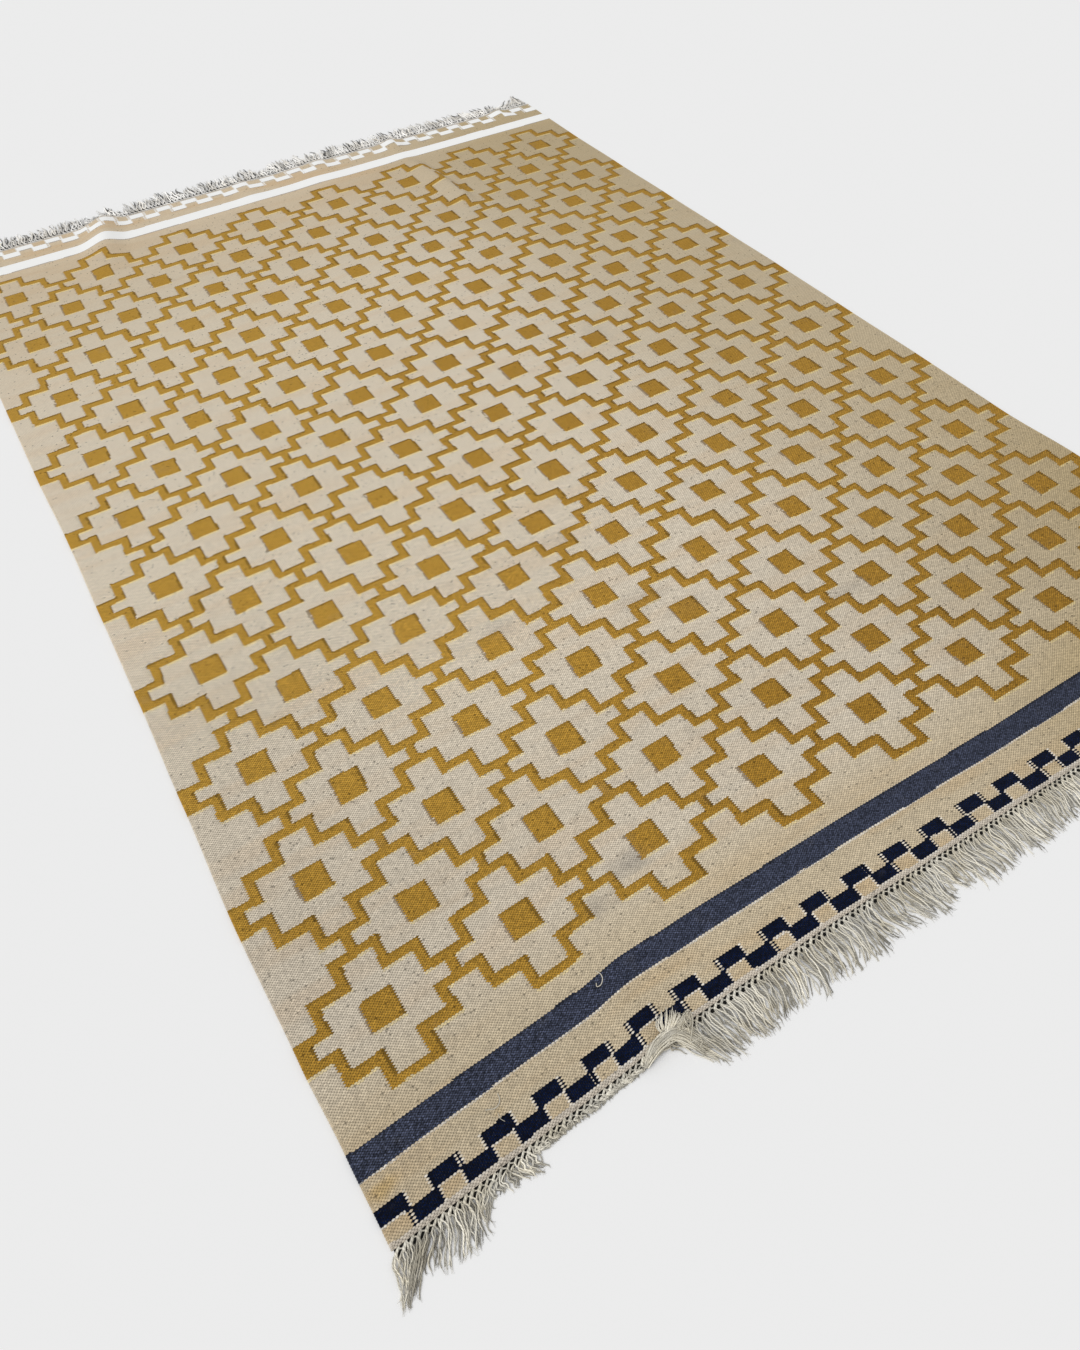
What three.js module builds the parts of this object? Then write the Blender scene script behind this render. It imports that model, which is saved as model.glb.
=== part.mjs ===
// A flat-woven rug lying on a floor: one woven sheet and a knotted fringe at each end.
// Millimetres, +Z up, +X across the rug, +Y along it. The origin is on the underside,
// at the middle of the woven pattern. The underside is flat at z = 0 except under the ripples.
import * as THREE from 'three';

// ---- driving sizes ----
const HALF_WIDTH = 847.5;     // flat cloth, from the middle line to a selvedge
const NEAR_END = -1205;       // flat cloth, from the pattern's middle to the near end
const FAR_END = 1218;         // flat cloth, from the pattern's middle to the far end
const THICKNESS = 4;          // weft-faced wool on a cotton warp
const PIECE_GAP = 0.3;        // between the cloth and a fringe
const KNOT_BAND = 12;         // the double row of knots at the root of a fringe
const FRINGE_THICKNESS = 3.6; // strands lying side by side
const TEETH = 49;             // bundles of strands in one comb
const TOOTH_SHARE = 0.72;     // of the comb's pitch, the rest is the gap between bundles
const TIP_SHARE = 0.5;        // width of a bundle's tip against its root
const SETTLE_LENGTH = 55;     // a lifted fringe comes back to the floor over this length

// How the weft lines lie. Each row is one line across the rug. along: its place on the flat cloth.
// left, right: sideways shift of its two ends. bow: how much further its middle is shifted.
// y1 to y6: its shift along the rug at the six places of COLUMN_PLACES, from left to right.
const COLUMN_PLACES = [-1, -0.6, -0.53, -0.2, 0.4, 1];
const WEFT_LINES = [
  { along: -1205, left: 1, right: 9, bow: -2, y1: -19, y2: 1, y3: 8.5, y4: 10.5, y5: 1.5, y6: 3 },
  { along: -1090, left: -1, right: 11, bow: -2, y1: -19, y2: 1, y3: 9.5, y4: 10, y5: 3.5, y6: 4 },
  { along: -970, left: -5, right: 13, bow: -3, y1: -17, y2: -1, y3: 3, y4: 10, y5: 7, y6: 10 },
  { along: -750, left: -8, right: 16, bow: -4, y1: -18, y2: -3, y3: -1.5, y4: 2, y5: 4, y6: 8 },
  { along: -540, left: -3.5, right: 4, bow: 0, y1: -13, y2: -1, y3: 0, y4: 3, y5: -9, y6: -13 },
  { along: -320, left: 1, right: 4, bow: 0, y1: -8, y2: 3, y3: 2.3, y4: -2, y5: -6, y6: -22 },
  { along: -110, left: 3, right: 0, bow: 1, y1: -4, y2: 4, y3: 4, y4: 0, y5: -5, y6: -3 },
  { along: 110, left: 5.5, right: -3, bow: 0, y1: -11, y2: -7, y3: -7.5, y4: -10, y5: -6, y6: -5 },
  { along: 320, left: 3, right: -8, bow: 2, y1: -18, y2: -13, y3: -12, y4: -6, y5: -7, y6: -9 },
  { along: 540, left: 4, right: -13, bow: 3, y1: -2, y2: -4, y3: -4, y4: -3, y5: 5, y6: -2 },
  { along: 750, left: 6, right: -19, bow: 4, y1: 11, y2: 13, y3: 12, y4: 6, y5: 2, y6: 0 },
  { along: 970, left: 11, right: -24, bow: 5, y1: 15, y2: 11, y3: 11, y4: 12, y5: 10, y6: -1 },
  { along: 1218, left: 10, right: -24, bow: 4, y1: 14, y2: 10, y3: 10.5, y4: 11, y5: 9, y6: 0 },
];

// The ripples, where the cloth stands off the floor. across, along: the crest's highest point.
// drift: how far the crest moves sideways for each millimetre towards the near end. left, right:
// from the crest to its two feet. nearer, farther: how far it runs towards each end of the rug.
// push: how far the crest leans over to the right.
const FLANK_POWER = 0.85; // below 1, a crest is sharper than a plain hump's
const CREST_POWER = 1.5;  // above 1, a crest stays high for longer and then drops
const RIPPLES = [
  { across: -447, along: 1218, drift: -0.24, left: 78, right: 64,
    nearer: 330, farther: 60, height: 17, push: 0 },
  { across: 388, along: 880, drift: 0.08, left: 66, right: 38,
    nearer: 140, farther: 265, height: 15.5, push: 8 },
  { across: 383, along: 1218, drift: 0, left: 52, right: 38,
    nearer: 100, farther: 60, height: 8.5, push: 0 },
  { across: 738, along: 1218, drift: 0.18, left: 50, right: 40,
    nearer: 80, farther: 60, height: 8, push: 0 },
  { across: 157, along: 1218, drift: 0, left: 48, right: 34,
    nearer: 75, farther: 60, height: 4.5, push: 0 },
  { across: 120, along: 1218, drift: 0, left: 95, right: 95,
    nearer: 260, farther: 60, height: 2.5, push: 0 },
  { across: -72, along: 1218, drift: 0, left: 60, right: 60,
    nearer: 150, farther: 60, height: 4, push: 0 },
  { across: -482, along: -1205, drift: 0, left: 44, right: 44,
    nearer: 60, farther: 120, height: 7, push: 0 },
];

// How far the strands reach past the knots, and how far their tips lean sideways.
const NEAR_STRANDS = [
  { across: -847, reach: 50, lean: -5 },
  { across: -825, reach: 48, lean: -20 },
  { across: -804, reach: 36, lean: -20 },
  { across: -780, reach: 47, lean: -15 },
  { across: -745, reach: 39, lean: -13 },
  { across: -710, reach: 16, lean: -4 },
  { across: -670, reach: 24, lean: 5 },
  { across: -650, reach: 8, lean: 2 },
  { across: -500, reach: 8, lean: 0 },
  { across: -445, reach: 18, lean: 8 },
  { across: -420, reach: 50, lean: 14 },
  { across: -300, reach: 52, lean: 2 },
  { across: -220, reach: 56, lean: 2 },
  { across: 0, reach: 54, lean: 5 },
  { across: 400, reach: 56, lean: 4 },
  { across: 847, reach: 54, lean: 3 },
];
const FAR_STRANDS = [
  { across: -847, reach: 55, lean: -4 },
  { across: -620, reach: 58, lean: 2 },
  { across: -470, reach: 46, lean: 4 },
  { across: -400, reach: 62, lean: 2 },
  { across: -300, reach: 66, lean: 4 },
  { across: -100, reach: 56, lean: 3 },
  { across: 150, reach: 66, lean: 4 },
  { across: 450, reach: 58, lean: 3 },
  { across: 690, reach: 52, lean: 6 },
  { across: 740, reach: 26, lean: 12 },
  { across: 775, reach: 56, lean: 36 },
  { across: 825, reach: 62, lean: 14 },
  { across: 847, reach: 62, lean: 2 },
];

// Grid of the cloth solid: cells between one column place and the next, and the rows' spacing.
const CELLS_BETWEEN_PLACES = [7, 2, 6, 11, 11];
const FINE_ROW = 34;          // row spacing under the ripples
const COARSE_ROW = 76;        // row spacing elsewhere
const FINE_LENGTH = 340;      // of the far end, in fine rows

// ---- how the cloth lies ----

// Value at x of the straight pieces that join rows [xKey, valueKey].
function alongTable(rows, xKey, valueKey, x) {
  const last = rows.length - 2;
  const found = rows.findIndex((row, k) => k <= last && x < rows[k + 1][xKey]);
  const k = found < 0 ? last : found;
  const t = THREE.MathUtils.clamp((x - rows[k][xKey]) / (rows[k + 1][xKey] - rows[k][xKey]), 0, 1);
  return THREE.MathUtils.lerp(rows[k][valueKey], rows[k + 1][valueKey], t);
}

// The same, eased in and out at each row, so that the selvedges have no corners.
function easedTable(rows, xKey, valueKey, x) {
  const last = rows.length - 2;
  const found = rows.findIndex((row, k) => k <= last && x < rows[k + 1][xKey]);
  const k = found < 0 ? last : found;
  const t = THREE.MathUtils.smoothstep(x, rows[k][xKey], rows[k + 1][xKey]);
  return THREE.MathUtils.lerp(rows[k][valueKey], rows[k + 1][valueKey], t);
}

// 1 at 0, falling softly to 0 at 1 and beyond.
function softHump(share) {
  return Math.cos((Math.PI / 2) * Math.min(Math.abs(share), 1)) ** 2;
}

// How much of a ripple's height there is at the flat point (across, along), from 0 to 1.
function rippleShare(ripple, across, along) {
  const aside = across - ripple.across - ripple.drift * (ripple.along - along);
  const beyond = along - ripple.along;
  const flank = Math.abs(aside) / (aside > 0 ? ripple.right : ripple.left);
  const run = Math.abs(beyond) / (beyond > 0 ? ripple.farther : ripple.nearer);
  return softHump(flank ** FLANK_POWER) * softHump(run ** CREST_POWER);
}

// Plan place of the flat point (across, along).
function layPoint(across, along) {
  const share = across / HALF_WIDTH;
  const left = easedTable(WEFT_LINES, 'along', 'left', along);
  const right = easedTable(WEFT_LINES, 'along', 'right', along);
  const bow = easedTable(WEFT_LINES, 'along', 'bow', along) * (1 - share * share);
  const columns = COLUMN_PLACES.map((place, k) => ({
    place,
    shift: easedTable(WEFT_LINES, 'along', `y${k + 1}`, along),
  }));
  let push = 0;
  for (const ripple of RIPPLES) {
    push += ripple.push * rippleShare(ripple, across, along);
  }
  return {
    x: across + THREE.MathUtils.lerp(left, right, (share + 1) / 2) + bow + push,
    y: along + alongTable(columns, 'place', 'shift', share),
  };
}

// Height of the underside over the floor at the flat point (across, along).
function lift(across, along) {
  let height = 0;
  for (const ripple of RIPPLES) {
    height += ripple.height * rippleShare(ripple, across, along);
  }
  return height;
}

// ---- solids ----

// Closed sheet over plan points {x, y, z} and four-cornered cells of their indices, each cell
// listed anticlockwise from above. z is the underside. Edges with one cell get a wall.
function sheetSolid(points, cells, thickness) {
  const count = points.length;
  const positions = new Float32Array(count * 6);
  points.forEach((point, k) => {
    positions.set([point.x, point.y, point.z], 3 * k);
    positions.set([point.x, point.y, point.z + thickness], 3 * (k + count));
  });
  const indices = [];
  const edges = new Map();
  for (const [a, b, c, d] of cells) {
    indices.push(a, c, b, a, d, c);
    indices.push(a + count, b + count, c + count, a + count, c + count, d + count);
    for (const [from, to] of [[a, b], [b, c], [c, d], [d, a]]) {
      if (!edges.delete(`${to},${from}`)) {
        edges.set(`${from},${to}`, [from, to]);
      }
    }
  }
  for (const [from, to] of edges.values()) {
    indices.push(from, to, to + count, from, to + count, from + count);
  }
  const geometry = new THREE.BufferGeometry();
  geometry.setAttribute('position', new THREE.BufferAttribute(positions, 3));
  geometry.setIndex(indices);
  geometry.computeVertexNormals();
  return geometry;
}

// Flat places of the cloth's columns: every column place and even steps between them.
function columnStations() {
  const stations = [-HALF_WIDTH];
  CELLS_BETWEEN_PLACES.forEach((steps, k) => {
    for (let n = 1; n <= steps; n += 1) {
      const share = THREE.MathUtils.lerp(COLUMN_PLACES[k], COLUMN_PLACES[k + 1], n / steps);
      stations.push(share * HALF_WIDTH);
    }
  });
  return stations;
}

// Flat places of the cloth's rows, closer together near the far end.
function rowStations() {
  const fineStart = FAR_END - FINE_LENGTH;
  const coarseSteps = Math.round((fineStart - NEAR_END) / COARSE_ROW);
  const fineSteps = Math.round(FINE_LENGTH / FINE_ROW);
  const stations = [];
  for (let n = 0; n < coarseSteps; n += 1) {
    stations.push(THREE.MathUtils.lerp(NEAR_END, fineStart, n / coarseSteps));
  }
  for (let n = 0; n <= fineSteps; n += 1) {
    stations.push(THREE.MathUtils.lerp(fineStart, FAR_END, n / fineSteps));
  }
  return stations;
}

function clothGeometry() {
  const columns = columnStations();
  const rows = rowStations();
  const points = rows.flatMap((along) => columns.map((across) => (
    { ...layPoint(across, along), z: lift(across, along) }
  )));
  const cells = [];
  for (let r = 0; r + 1 < rows.length; r += 1) {
    for (let c = 0; c + 1 < columns.length; c += 1) {
      const corner = r * columns.length + c;
      cells.push([corner, corner + 1, corner + 1 + columns.length, corner + columns.length]);
    }
  }
  return sheetSolid(points, cells, THICKNESS);
}

// One comb: a knot band along the cloth's end, and under every other stretch of it a tapering
// tooth of strands. outwards is -1 at the near end and +1 at the far end.
function fringeGeometry(end, outwards, strands) {
  const pitch = (2 * HALF_WIDTH) / (TEETH - 1 + TOOTH_SHARE);
  const toothWidth = pitch * TOOTH_SHARE;
  const points = [];
  const cells = [];

  // Adds the point that lies past the cloth's end by a distance, and returns its index.
  function addPoint(across, past, lean) {
    const root = layPoint(across, end);
    const settled = THREE.MathUtils.clamp(1 - past / SETTLE_LENGTH, 0, 1);
    points.push({
      x: root.x + lean,
      y: root.y + outwards * (PIECE_GAP + past),
      z: lift(across, end) * settled ** 2,
    });
    return points.length - 1;
  }

  // Adds the cell with an inner and an outer edge, each given from left to right.
  function addCell(inner, outer) {
    const [low, high] = outwards > 0 ? [inner, outer] : [outer, inner];
    cells.push([low[0], low[1], high[1], high[0]]);
  }

  let previous = null;
  for (let k = 0; k < TEETH; k += 1) {
    const left = -HALF_WIDTH + k * pitch;
    const sides = [left, left + toothWidth];
    const middle = left + toothWidth / 2;
    const reach = alongTable(strands, 'across', 'reach', middle);
    const lean = alongTable(strands, 'across', 'lean', middle);
    const inner = sides.map((across) => addPoint(across, 0, 0));
    const outer = sides.map((across) => addPoint(across, KNOT_BAND, 0));
    const half = sides.map((across) => (
      addPoint(across, KNOT_BAND + reach / 2, lean / 2)
    ));
    const tip = sides.map((across) => (
      addPoint(across, KNOT_BAND + reach, lean + (middle - across) * (1 - TIP_SHARE))
    ));
    if (previous) {
      addCell([previous.inner[1], inner[0]], [previous.outer[1], outer[0]]);
    }
    addCell(inner, outer);
    addCell(outer, half);
    addCell(half, tip);
    previous = { inner, outer };
  }
  return sheetSolid(points, cells, FRINGE_THICKNESS);
}

// ---- the rug ----

function addPiece(group, name, geometry, color, roughness) {
  const material = new THREE.MeshStandardMaterial({ color, roughness, metalness: 0 });
  const mesh = new THREE.Mesh(geometry, material);
  mesh.name = name;
  group.add(mesh);
}

const rug = new THREE.Group();
addPiece(rug, 'cloth', clothGeometry(), 0xc4b59f, 0.95);
addPiece(rug, 'fringe_near', fringeGeometry(NEAR_END, -1, NEAR_STRANDS), 0xc9c5b6, 0.9);
addPiece(rug, 'fringe_far', fringeGeometry(FAR_END, 1, FAR_STRANDS), 0xc9c5b6, 0.9);

export default rug;
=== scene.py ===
"""A flat-woven wool rug with knotted ends, laid flat on a pale floor.

The woven sheet, its two selvedges, a fringe at each end and a few loose threads are built as
surfaces over flat coordinates, across and along the cloth, which the lay carries to the floor.
Sizes are in metres unless a name or comment says millimetres.
"""
import logging
import math
from collections.abc import Callable
from dataclasses import dataclass, field
from enum import Enum
from functools import reduce
from operator import or_

import bpy
import numpy as np
from mathutils import Matrix, Vector


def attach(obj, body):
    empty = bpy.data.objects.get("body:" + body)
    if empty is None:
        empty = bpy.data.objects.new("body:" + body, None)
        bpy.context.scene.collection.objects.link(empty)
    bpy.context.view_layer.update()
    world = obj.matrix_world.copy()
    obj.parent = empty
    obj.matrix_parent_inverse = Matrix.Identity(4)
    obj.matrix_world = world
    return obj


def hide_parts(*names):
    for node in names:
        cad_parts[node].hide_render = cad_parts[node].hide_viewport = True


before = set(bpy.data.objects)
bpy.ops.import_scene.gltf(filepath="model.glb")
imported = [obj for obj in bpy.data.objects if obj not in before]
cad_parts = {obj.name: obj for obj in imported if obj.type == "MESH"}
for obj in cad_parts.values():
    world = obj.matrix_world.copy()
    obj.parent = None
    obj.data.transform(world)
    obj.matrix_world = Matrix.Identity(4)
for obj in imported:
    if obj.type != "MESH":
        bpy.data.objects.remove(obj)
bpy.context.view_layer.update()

LOG = logging.getLogger("rug")
MM = 0.001
HALF_WIDTH = 847.5  # of the cloth laid flat, in millimetres
FLANK_POWER = 0.85  # below 1, a ripple's crest is sharper than a plain hump's
CREST_POWER = 1.5  # above 1, a crest stays high for longer and then drops
Colour = tuple[float, float, float]
Row = tuple[float, ...]


class Slot(Enum):
    """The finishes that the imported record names."""

    CLOTH = "woven_cloth"
    FRINGE = "warp_fringe"


class End(Enum):
    """An end of the rug: its CAD comb, the flat place of its edge, and which way is outwards."""

    NEAR = ("fringe_near", -1.205, -1.0)
    FAR = ("fringe_far", 1.218, 1.0)

    def __init__(self, node: str, edge: float, outwards: float) -> None:
        """Holds the comb's name, where the weaving stops along the cloth, and -1 or +1."""
        self.node, self.edge, self.outwards = node, edge, outwards


def shade(red: int, green: int, blue: int) -> Colour:
    """Turns a screen colour into the linear colour that a shader needs.

    Args:
        red: Red from 0 to 255.
        green: Green from 0 to 255.
        blue: Blue from 0 to 255.

    Returns:
        The three linear parts, each from 0 to 1.
    """
    parts = np.array([red, green, blue]) / 255.0
    low, high = parts / 12.92, ((parts + 0.055) / 1.055) ** 2.4
    return tuple(float(x) for x in np.where(parts <= 0.04045, low, high))


def ease(share: np.ndarray) -> np.ndarray:
    """Eases 0 to 1 in and out: three times the square less twice the cube."""
    held = np.clip(share, 0.0, 1.0)
    return held * held * (3.0 - 2.0 * held)


def soft_hump(share: np.ndarray) -> np.ndarray:
    """A hump of 1 at 0 that falls to 0 at 1 and beyond: the squared cosine of a quarter turn."""
    return np.cos(0.5 * math.pi * np.clip(np.abs(share), 0.0, 1.0)) ** 2


def slow_noise(rng: np.random.Generator, at: np.ndarray, step: float) -> np.ndarray:
    """Smooth random wander along a line: random values from -1 to 1 at even steps, eased between.

    Args:
        rng: The seeded source of the values.
        at: Places along the line.
        step: The distance between two random values.

    Returns:
        The wander at each place.
    """
    places = (at - at.min()) / step
    values = rng.uniform(-1.0, 1.0, int(places.max()) + 3)
    low = np.floor(places).astype(int)
    part = ease(places - low)
    return values[low] * (1.0 - part) + values[low + 1] * part


# ---- how the rug lies ----


@dataclass(frozen=True)
class Ripple:
    """A soft fold, in millimetres.

    across and along are its highest point, and drift is how far its crest moves sideways for
    each millimetre towards the near end. left and right are from the crest to its feet, and
    nearer and farther are how far it runs towards the near end and the far end. push is how
    far the crest leans over to the right.
    """

    across: float
    along: float
    drift: float
    left: float
    right: float
    nearer: float
    farther: float
    height: float
    push: float = 0.0

    def share(self, across: np.ndarray, along: np.ndarray) -> np.ndarray:
        """How much of the ripple's height there is at flat places.

        It is a soft hump across, with its own width on each side, times a flat-topped hump
        along the crest.

        Args:
            across: Flat places across.
            along: Flat places along.

        Returns:
            Shares from 0 to 1.
        """
        aside = across - self.across - self.drift * (self.along - along)
        beyond = along - self.along
        flank = np.abs(aside) / np.where(aside > 0.0, self.right, self.left)
        run = np.abs(beyond) / np.where(beyond > 0.0, self.farther, self.nearer)
        return soft_hump(flank**FLANK_POWER) * soft_hump(run**CREST_POWER)


@dataclass(frozen=True)
class Swell:
    """A low soft rise in the lay, in millimetres: an oval hump turned by an angle in degrees."""

    across: float
    along: float
    half_long: float
    half_wide: float
    turn: float
    height: float


@dataclass(frozen=True)
class Lay:
    """Carries flat places of the cloth to where they lie on the floor.

    The tables are in millimetres, and are those of the CAD cloth: for each weft line its place
    along, the shift of its left end, its right end and (over those) its middle, and how far
    each of the column places on it is pulled along.
    """

    half_width: float = HALF_WIDTH
    column_places: Row = (-1.0, -0.6, -0.53, -0.2, 0.4, 1.0)
    weft_lines: tuple[Row, ...] = (
        (-1205, 1, 9, -2, -19, 1, 8.5, 10.5, 1.5, 3),
        (-1090, -1, 11, -2, -19, 1, 9.5, 10, 3.5, 4),
        (-970, -5, 13, -3, -17, -1, 3, 10, 7, 10),
        (-750, -8, 16, -4, -18, -3, -1.5, 2, 4, 8),
        (-540, -3.5, 4, 0, -13, -1, 0, 3, -9, -13),
        (-320, 1, 4, 0, -8, 3, 2.3, -2, -6, -22),
        (-110, 3, 0, 1, -4, 4, 4, 0, -5, -3),
        (110, 5.5, -3, 0, -11, -7, -7.5, -10, -6, -5),
        (320, 3, -8, 2, -18, -13, -12, -6, -7, -9),
        (540, 4, -13, 3, -2, -4, -4, -3, 5, -2),
        (750, 6, -19, 4, 11, 13, 12, 6, 2, 0),
        (970, 11, -24, 5, 15, 11, 11, 12, 10, -1),
        (1218, 10, -24, 4, 14, 10, 10.5, 11, 9, 0),
    )
    ripples: tuple[Ripple, ...] = (
        Ripple(-447, 1218, -0.24, 78, 64, 330, 60, 17),
        Ripple(388, 880, 0.08, 66, 38, 140, 265, 15.5, 8),
        Ripple(383, 1218, 0, 52, 38, 100, 60, 8.5),
        Ripple(738, 1218, 0.18, 50, 40, 80, 60, 8),
        Ripple(157, 1218, 0, 48, 34, 75, 60, 4.5),
        Ripple(120, 1218, 0, 95, 95, 260, 60, 2.5),
        Ripple(-72, 1218, 0, 60, 60, 150, 60, 4),
        Ripple(-482, -1205, 0, 44, 44, 60, 120, 7),
    )
    swells: tuple[Swell, ...] = (
        Swell(-560, -620, 300, 60, 8, 1.6),
        Swell(-120, -860, 260, 55, -14, 1.4),
        Swell(330, -420, 320, 70, 12, 1.8),
        Swell(610, -90, 260, 60, -8, 1.5),
        Swell(60, 160, 340, 70, 10, 1.6),
        Swell(-430, 330, 280, 60, -12, 1.5),
        Swell(-640, 40, 220, 55, 20, 1.3),
        Swell(430, 560, 300, 60, 76, 1.8),
        Swell(-20, 700, 280, 60, 84, 1.6),
        Swell(-330, 820, 240, 50, 95, 1.6),
        Swell(520, -1080, 240, 50, 4, 1.3),
        Swell(-60, -1120, 220, 45, -6, 1.2),
    )

    def _table(self, column: int, along: np.ndarray) -> np.ndarray:
        """One column of the weft lines at places along, eased from each line to the next."""
        rows = np.array(self.weft_lines, float)
        k = np.clip(np.searchsorted(rows[:, 0], along, side="right") - 1, 0, len(rows) - 2)
        part = ease((along - rows[k, 0]) / (rows[k + 1, 0] - rows[k, 0]))
        return rows[k, column] * (1.0 - part) + rows[k + 1, column] * part

    def plan(self, across: np.ndarray, along: np.ndarray) -> tuple[np.ndarray, np.ndarray]:
        """Where flat places lie, seen from above.

        x is the place across plus the weft line's own shift, shared out from its left end to
        its right, plus its bow times 1 less the squared share of the half-width, plus the
        push of the ripples there. y is the place along plus the pull at that share of the width.

        Args:
            across: Flat places across, in metres.
            along: Flat places along, in metres.

        Returns:
            x and y in metres.
        """
        across, along = np.broadcast_arrays(across / MM, along / MM)
        share = across / self.half_width
        left, right, bow = (self._table(column, along) for column in (1, 2, 3))
        pulls = np.stack([self._table(4 + k, along) for k in range(len(self.column_places))])
        places = np.array(self.column_places)
        k = np.clip(np.searchsorted(places, share, side="right") - 1, 0, len(places) - 2)
        part = np.clip((share - places[k]) / (places[k + 1] - places[k]), 0.0, 1.0)
        low = np.take_along_axis(pulls, k[None], 0)[0]
        high = np.take_along_axis(pulls, k[None] + 1, 0)[0]
        x = across + left + (right - left) * (share + 1.0) / 2.0 + bow * (1.0 - share**2)
        for ripple in self.ripples:
            if ripple.push:
                x = x + ripple.push * ripple.share(across, along)
        return x * MM, (along + low * (1.0 - part) + high * part) * MM

    def lift(self, across: np.ndarray, along: np.ndarray) -> np.ndarray:
        """How high the underside lies over the floor.

        It is the height of each ripple times its share there, plus each swell's low oval hump.

        Args:
            across: Flat places across, in metres.
            along: Flat places along, in metres.

        Returns:
            The height in metres.
        """
        across, along = np.broadcast_arrays(across / MM, along / MM)
        height = np.zeros(across.shape)
        for ripple in self.ripples:
            height += ripple.height * ripple.share(across, along)
        for s in self.swells:
            c, n = math.cos(math.radians(s.turn)), math.sin(math.radians(s.turn))
            du, dv = across - s.across, along - s.along
            long_way, wide_way = (du * c + dv * n) / s.half_long, (dv * c - du * n) / s.half_wide
            height += s.height * soft_hump(np.hypot(long_way, wide_way))
        return height * MM

    def at(self, across: np.ndarray, along: np.ndarray, over: np.ndarray) -> np.ndarray:
        """Points that lie a given height over the underside at flat places.

        Args:
            across: Flat places across, in metres.
            along: Flat places along, in metres.
            over: Heights over the cloth's underside, in metres.

        Returns:
            The points, with x, y and z as the last axis.
        """
        x, y = self.plan(across, along)
        return np.stack(np.broadcast_arrays(x, y, self.lift(across, along) + over), -1)


# ---- meshes ----


@dataclass
class Surface:
    """Points, faces of one or more corner counts, and values on the points and the corners."""

    points: np.ndarray
    faces: list[np.ndarray]
    on_points: dict[str, np.ndarray] = field(default_factory=dict)
    corner_map: np.ndarray | None = None

    @classmethod
    def join(cls, *parts: "Surface") -> "Surface":
        """Joins surfaces that carry the same kinds of values.

        Args:
            parts: The surfaces.

        Returns:
            All of them as one.
        """
        starts = np.cumsum([0] + [len(part.points) for part in parts])
        faces = [f + start for part, start in zip(parts, starts) for f in part.faces]
        keys = parts[0].on_points
        on_points = {key: np.concatenate([part.on_points[key] for part in parts]) for key in keys}
        corner_map = np.concatenate([part.corner_map for part in parts])
        return cls(np.concatenate([part.points for part in parts]), faces, on_points, corner_map)

    def piece(self, name: str, material: bpy.types.Material) -> bpy.types.Object:
        """Puts the surface into a new object that sits at the origin.

        Args:
            name: The piece's name.
            material: Its finish.

        Returns:
            The object, linked into the scene and riding on the rug's one body.
        """
        sizes = np.concatenate([np.full(len(f), f.shape[1]) for f in self.faces])
        corners = np.concatenate([f.ravel() for f in self.faces]).astype(np.int32)
        mesh = bpy.data.meshes.new(name)
        mesh.vertices.add(len(self.points))
        mesh.vertices.foreach_set("co", self.points.astype(np.float32).ravel())
        mesh.loops.add(len(corners))
        mesh.loops.foreach_set("vertex_index", corners)
        mesh.polygons.add(len(sizes))
        mesh.polygons.foreach_set("loop_start", (np.cumsum(sizes) - sizes).astype(np.int32))
        mesh.polygons.foreach_set("use_smooth", np.ones(len(sizes), bool))
        mesh.update(calc_edges=True)
        for key, values in self.on_points.items():
            kind, slot = ("FLOAT", "value") if values.ndim == 1 else ("FLOAT_VECTOR", "vector")
            attribute = mesh.attributes.new(key, kind, "POINT")
            attribute.data.foreach_set(slot, values.astype(np.float32).ravel())
        if self.corner_map is not None:
            layer = mesh.uv_layers.new(name="twist")
            layer.data.foreach_set("uv", self.corner_map.astype(np.float32).ravel())
        mesh.validate()
        mesh.materials.append(material)
        made = bpy.data.objects.new(name, mesh)
        bpy.context.scene.collection.objects.link(made)
        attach(made, "root")
        LOG.info("%s: %d points, %d faces", name, len(self.points), len(sizes))
        return made


def grid_faces(rows: int, columns: int) -> np.ndarray:
    """Four-cornered faces over a grid numbered row by row, anticlockwise from above.

    Args:
        rows: How many rows of points, each further along than the last.
        columns: How many points there are in a row, from left to right.

    Returns:
        One row of four point numbers for each face.
    """
    corner = (np.arange(rows - 1)[:, None] * columns + np.arange(columns - 1)).ravel()
    return np.stack([corner, corner + 1, corner + 1 + columns, corner + columns], 1)


def closed_sheet(low: np.ndarray, high: np.ndarray) -> tuple[np.ndarray, list[np.ndarray]]:
    """A thin closed sheet between two grids of points, with a wall all the way round.

    Args:
        low: The underside's points, by row and column.
        high: The upper side's points, by row and column.

    Returns:
        The points, the upper ones first, and the faces.
    """
    rows, columns = high.shape[:2]
    count = rows * columns
    number = np.arange(count).reshape(rows, columns)
    rim = np.concatenate([number[0], number[1:, -1], number[-1, -2::-1], number[-2:0:-1, 0]])
    after = np.roll(rim, -1)
    walls = np.stack([rim, rim + count, after + count, after], 1)
    top = grid_faces(rows, columns)
    points = np.concatenate([high.reshape(-1, 3), low.reshape(-1, 3)])
    return points, [top, top[:, ::-1] + count, walls]


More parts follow.
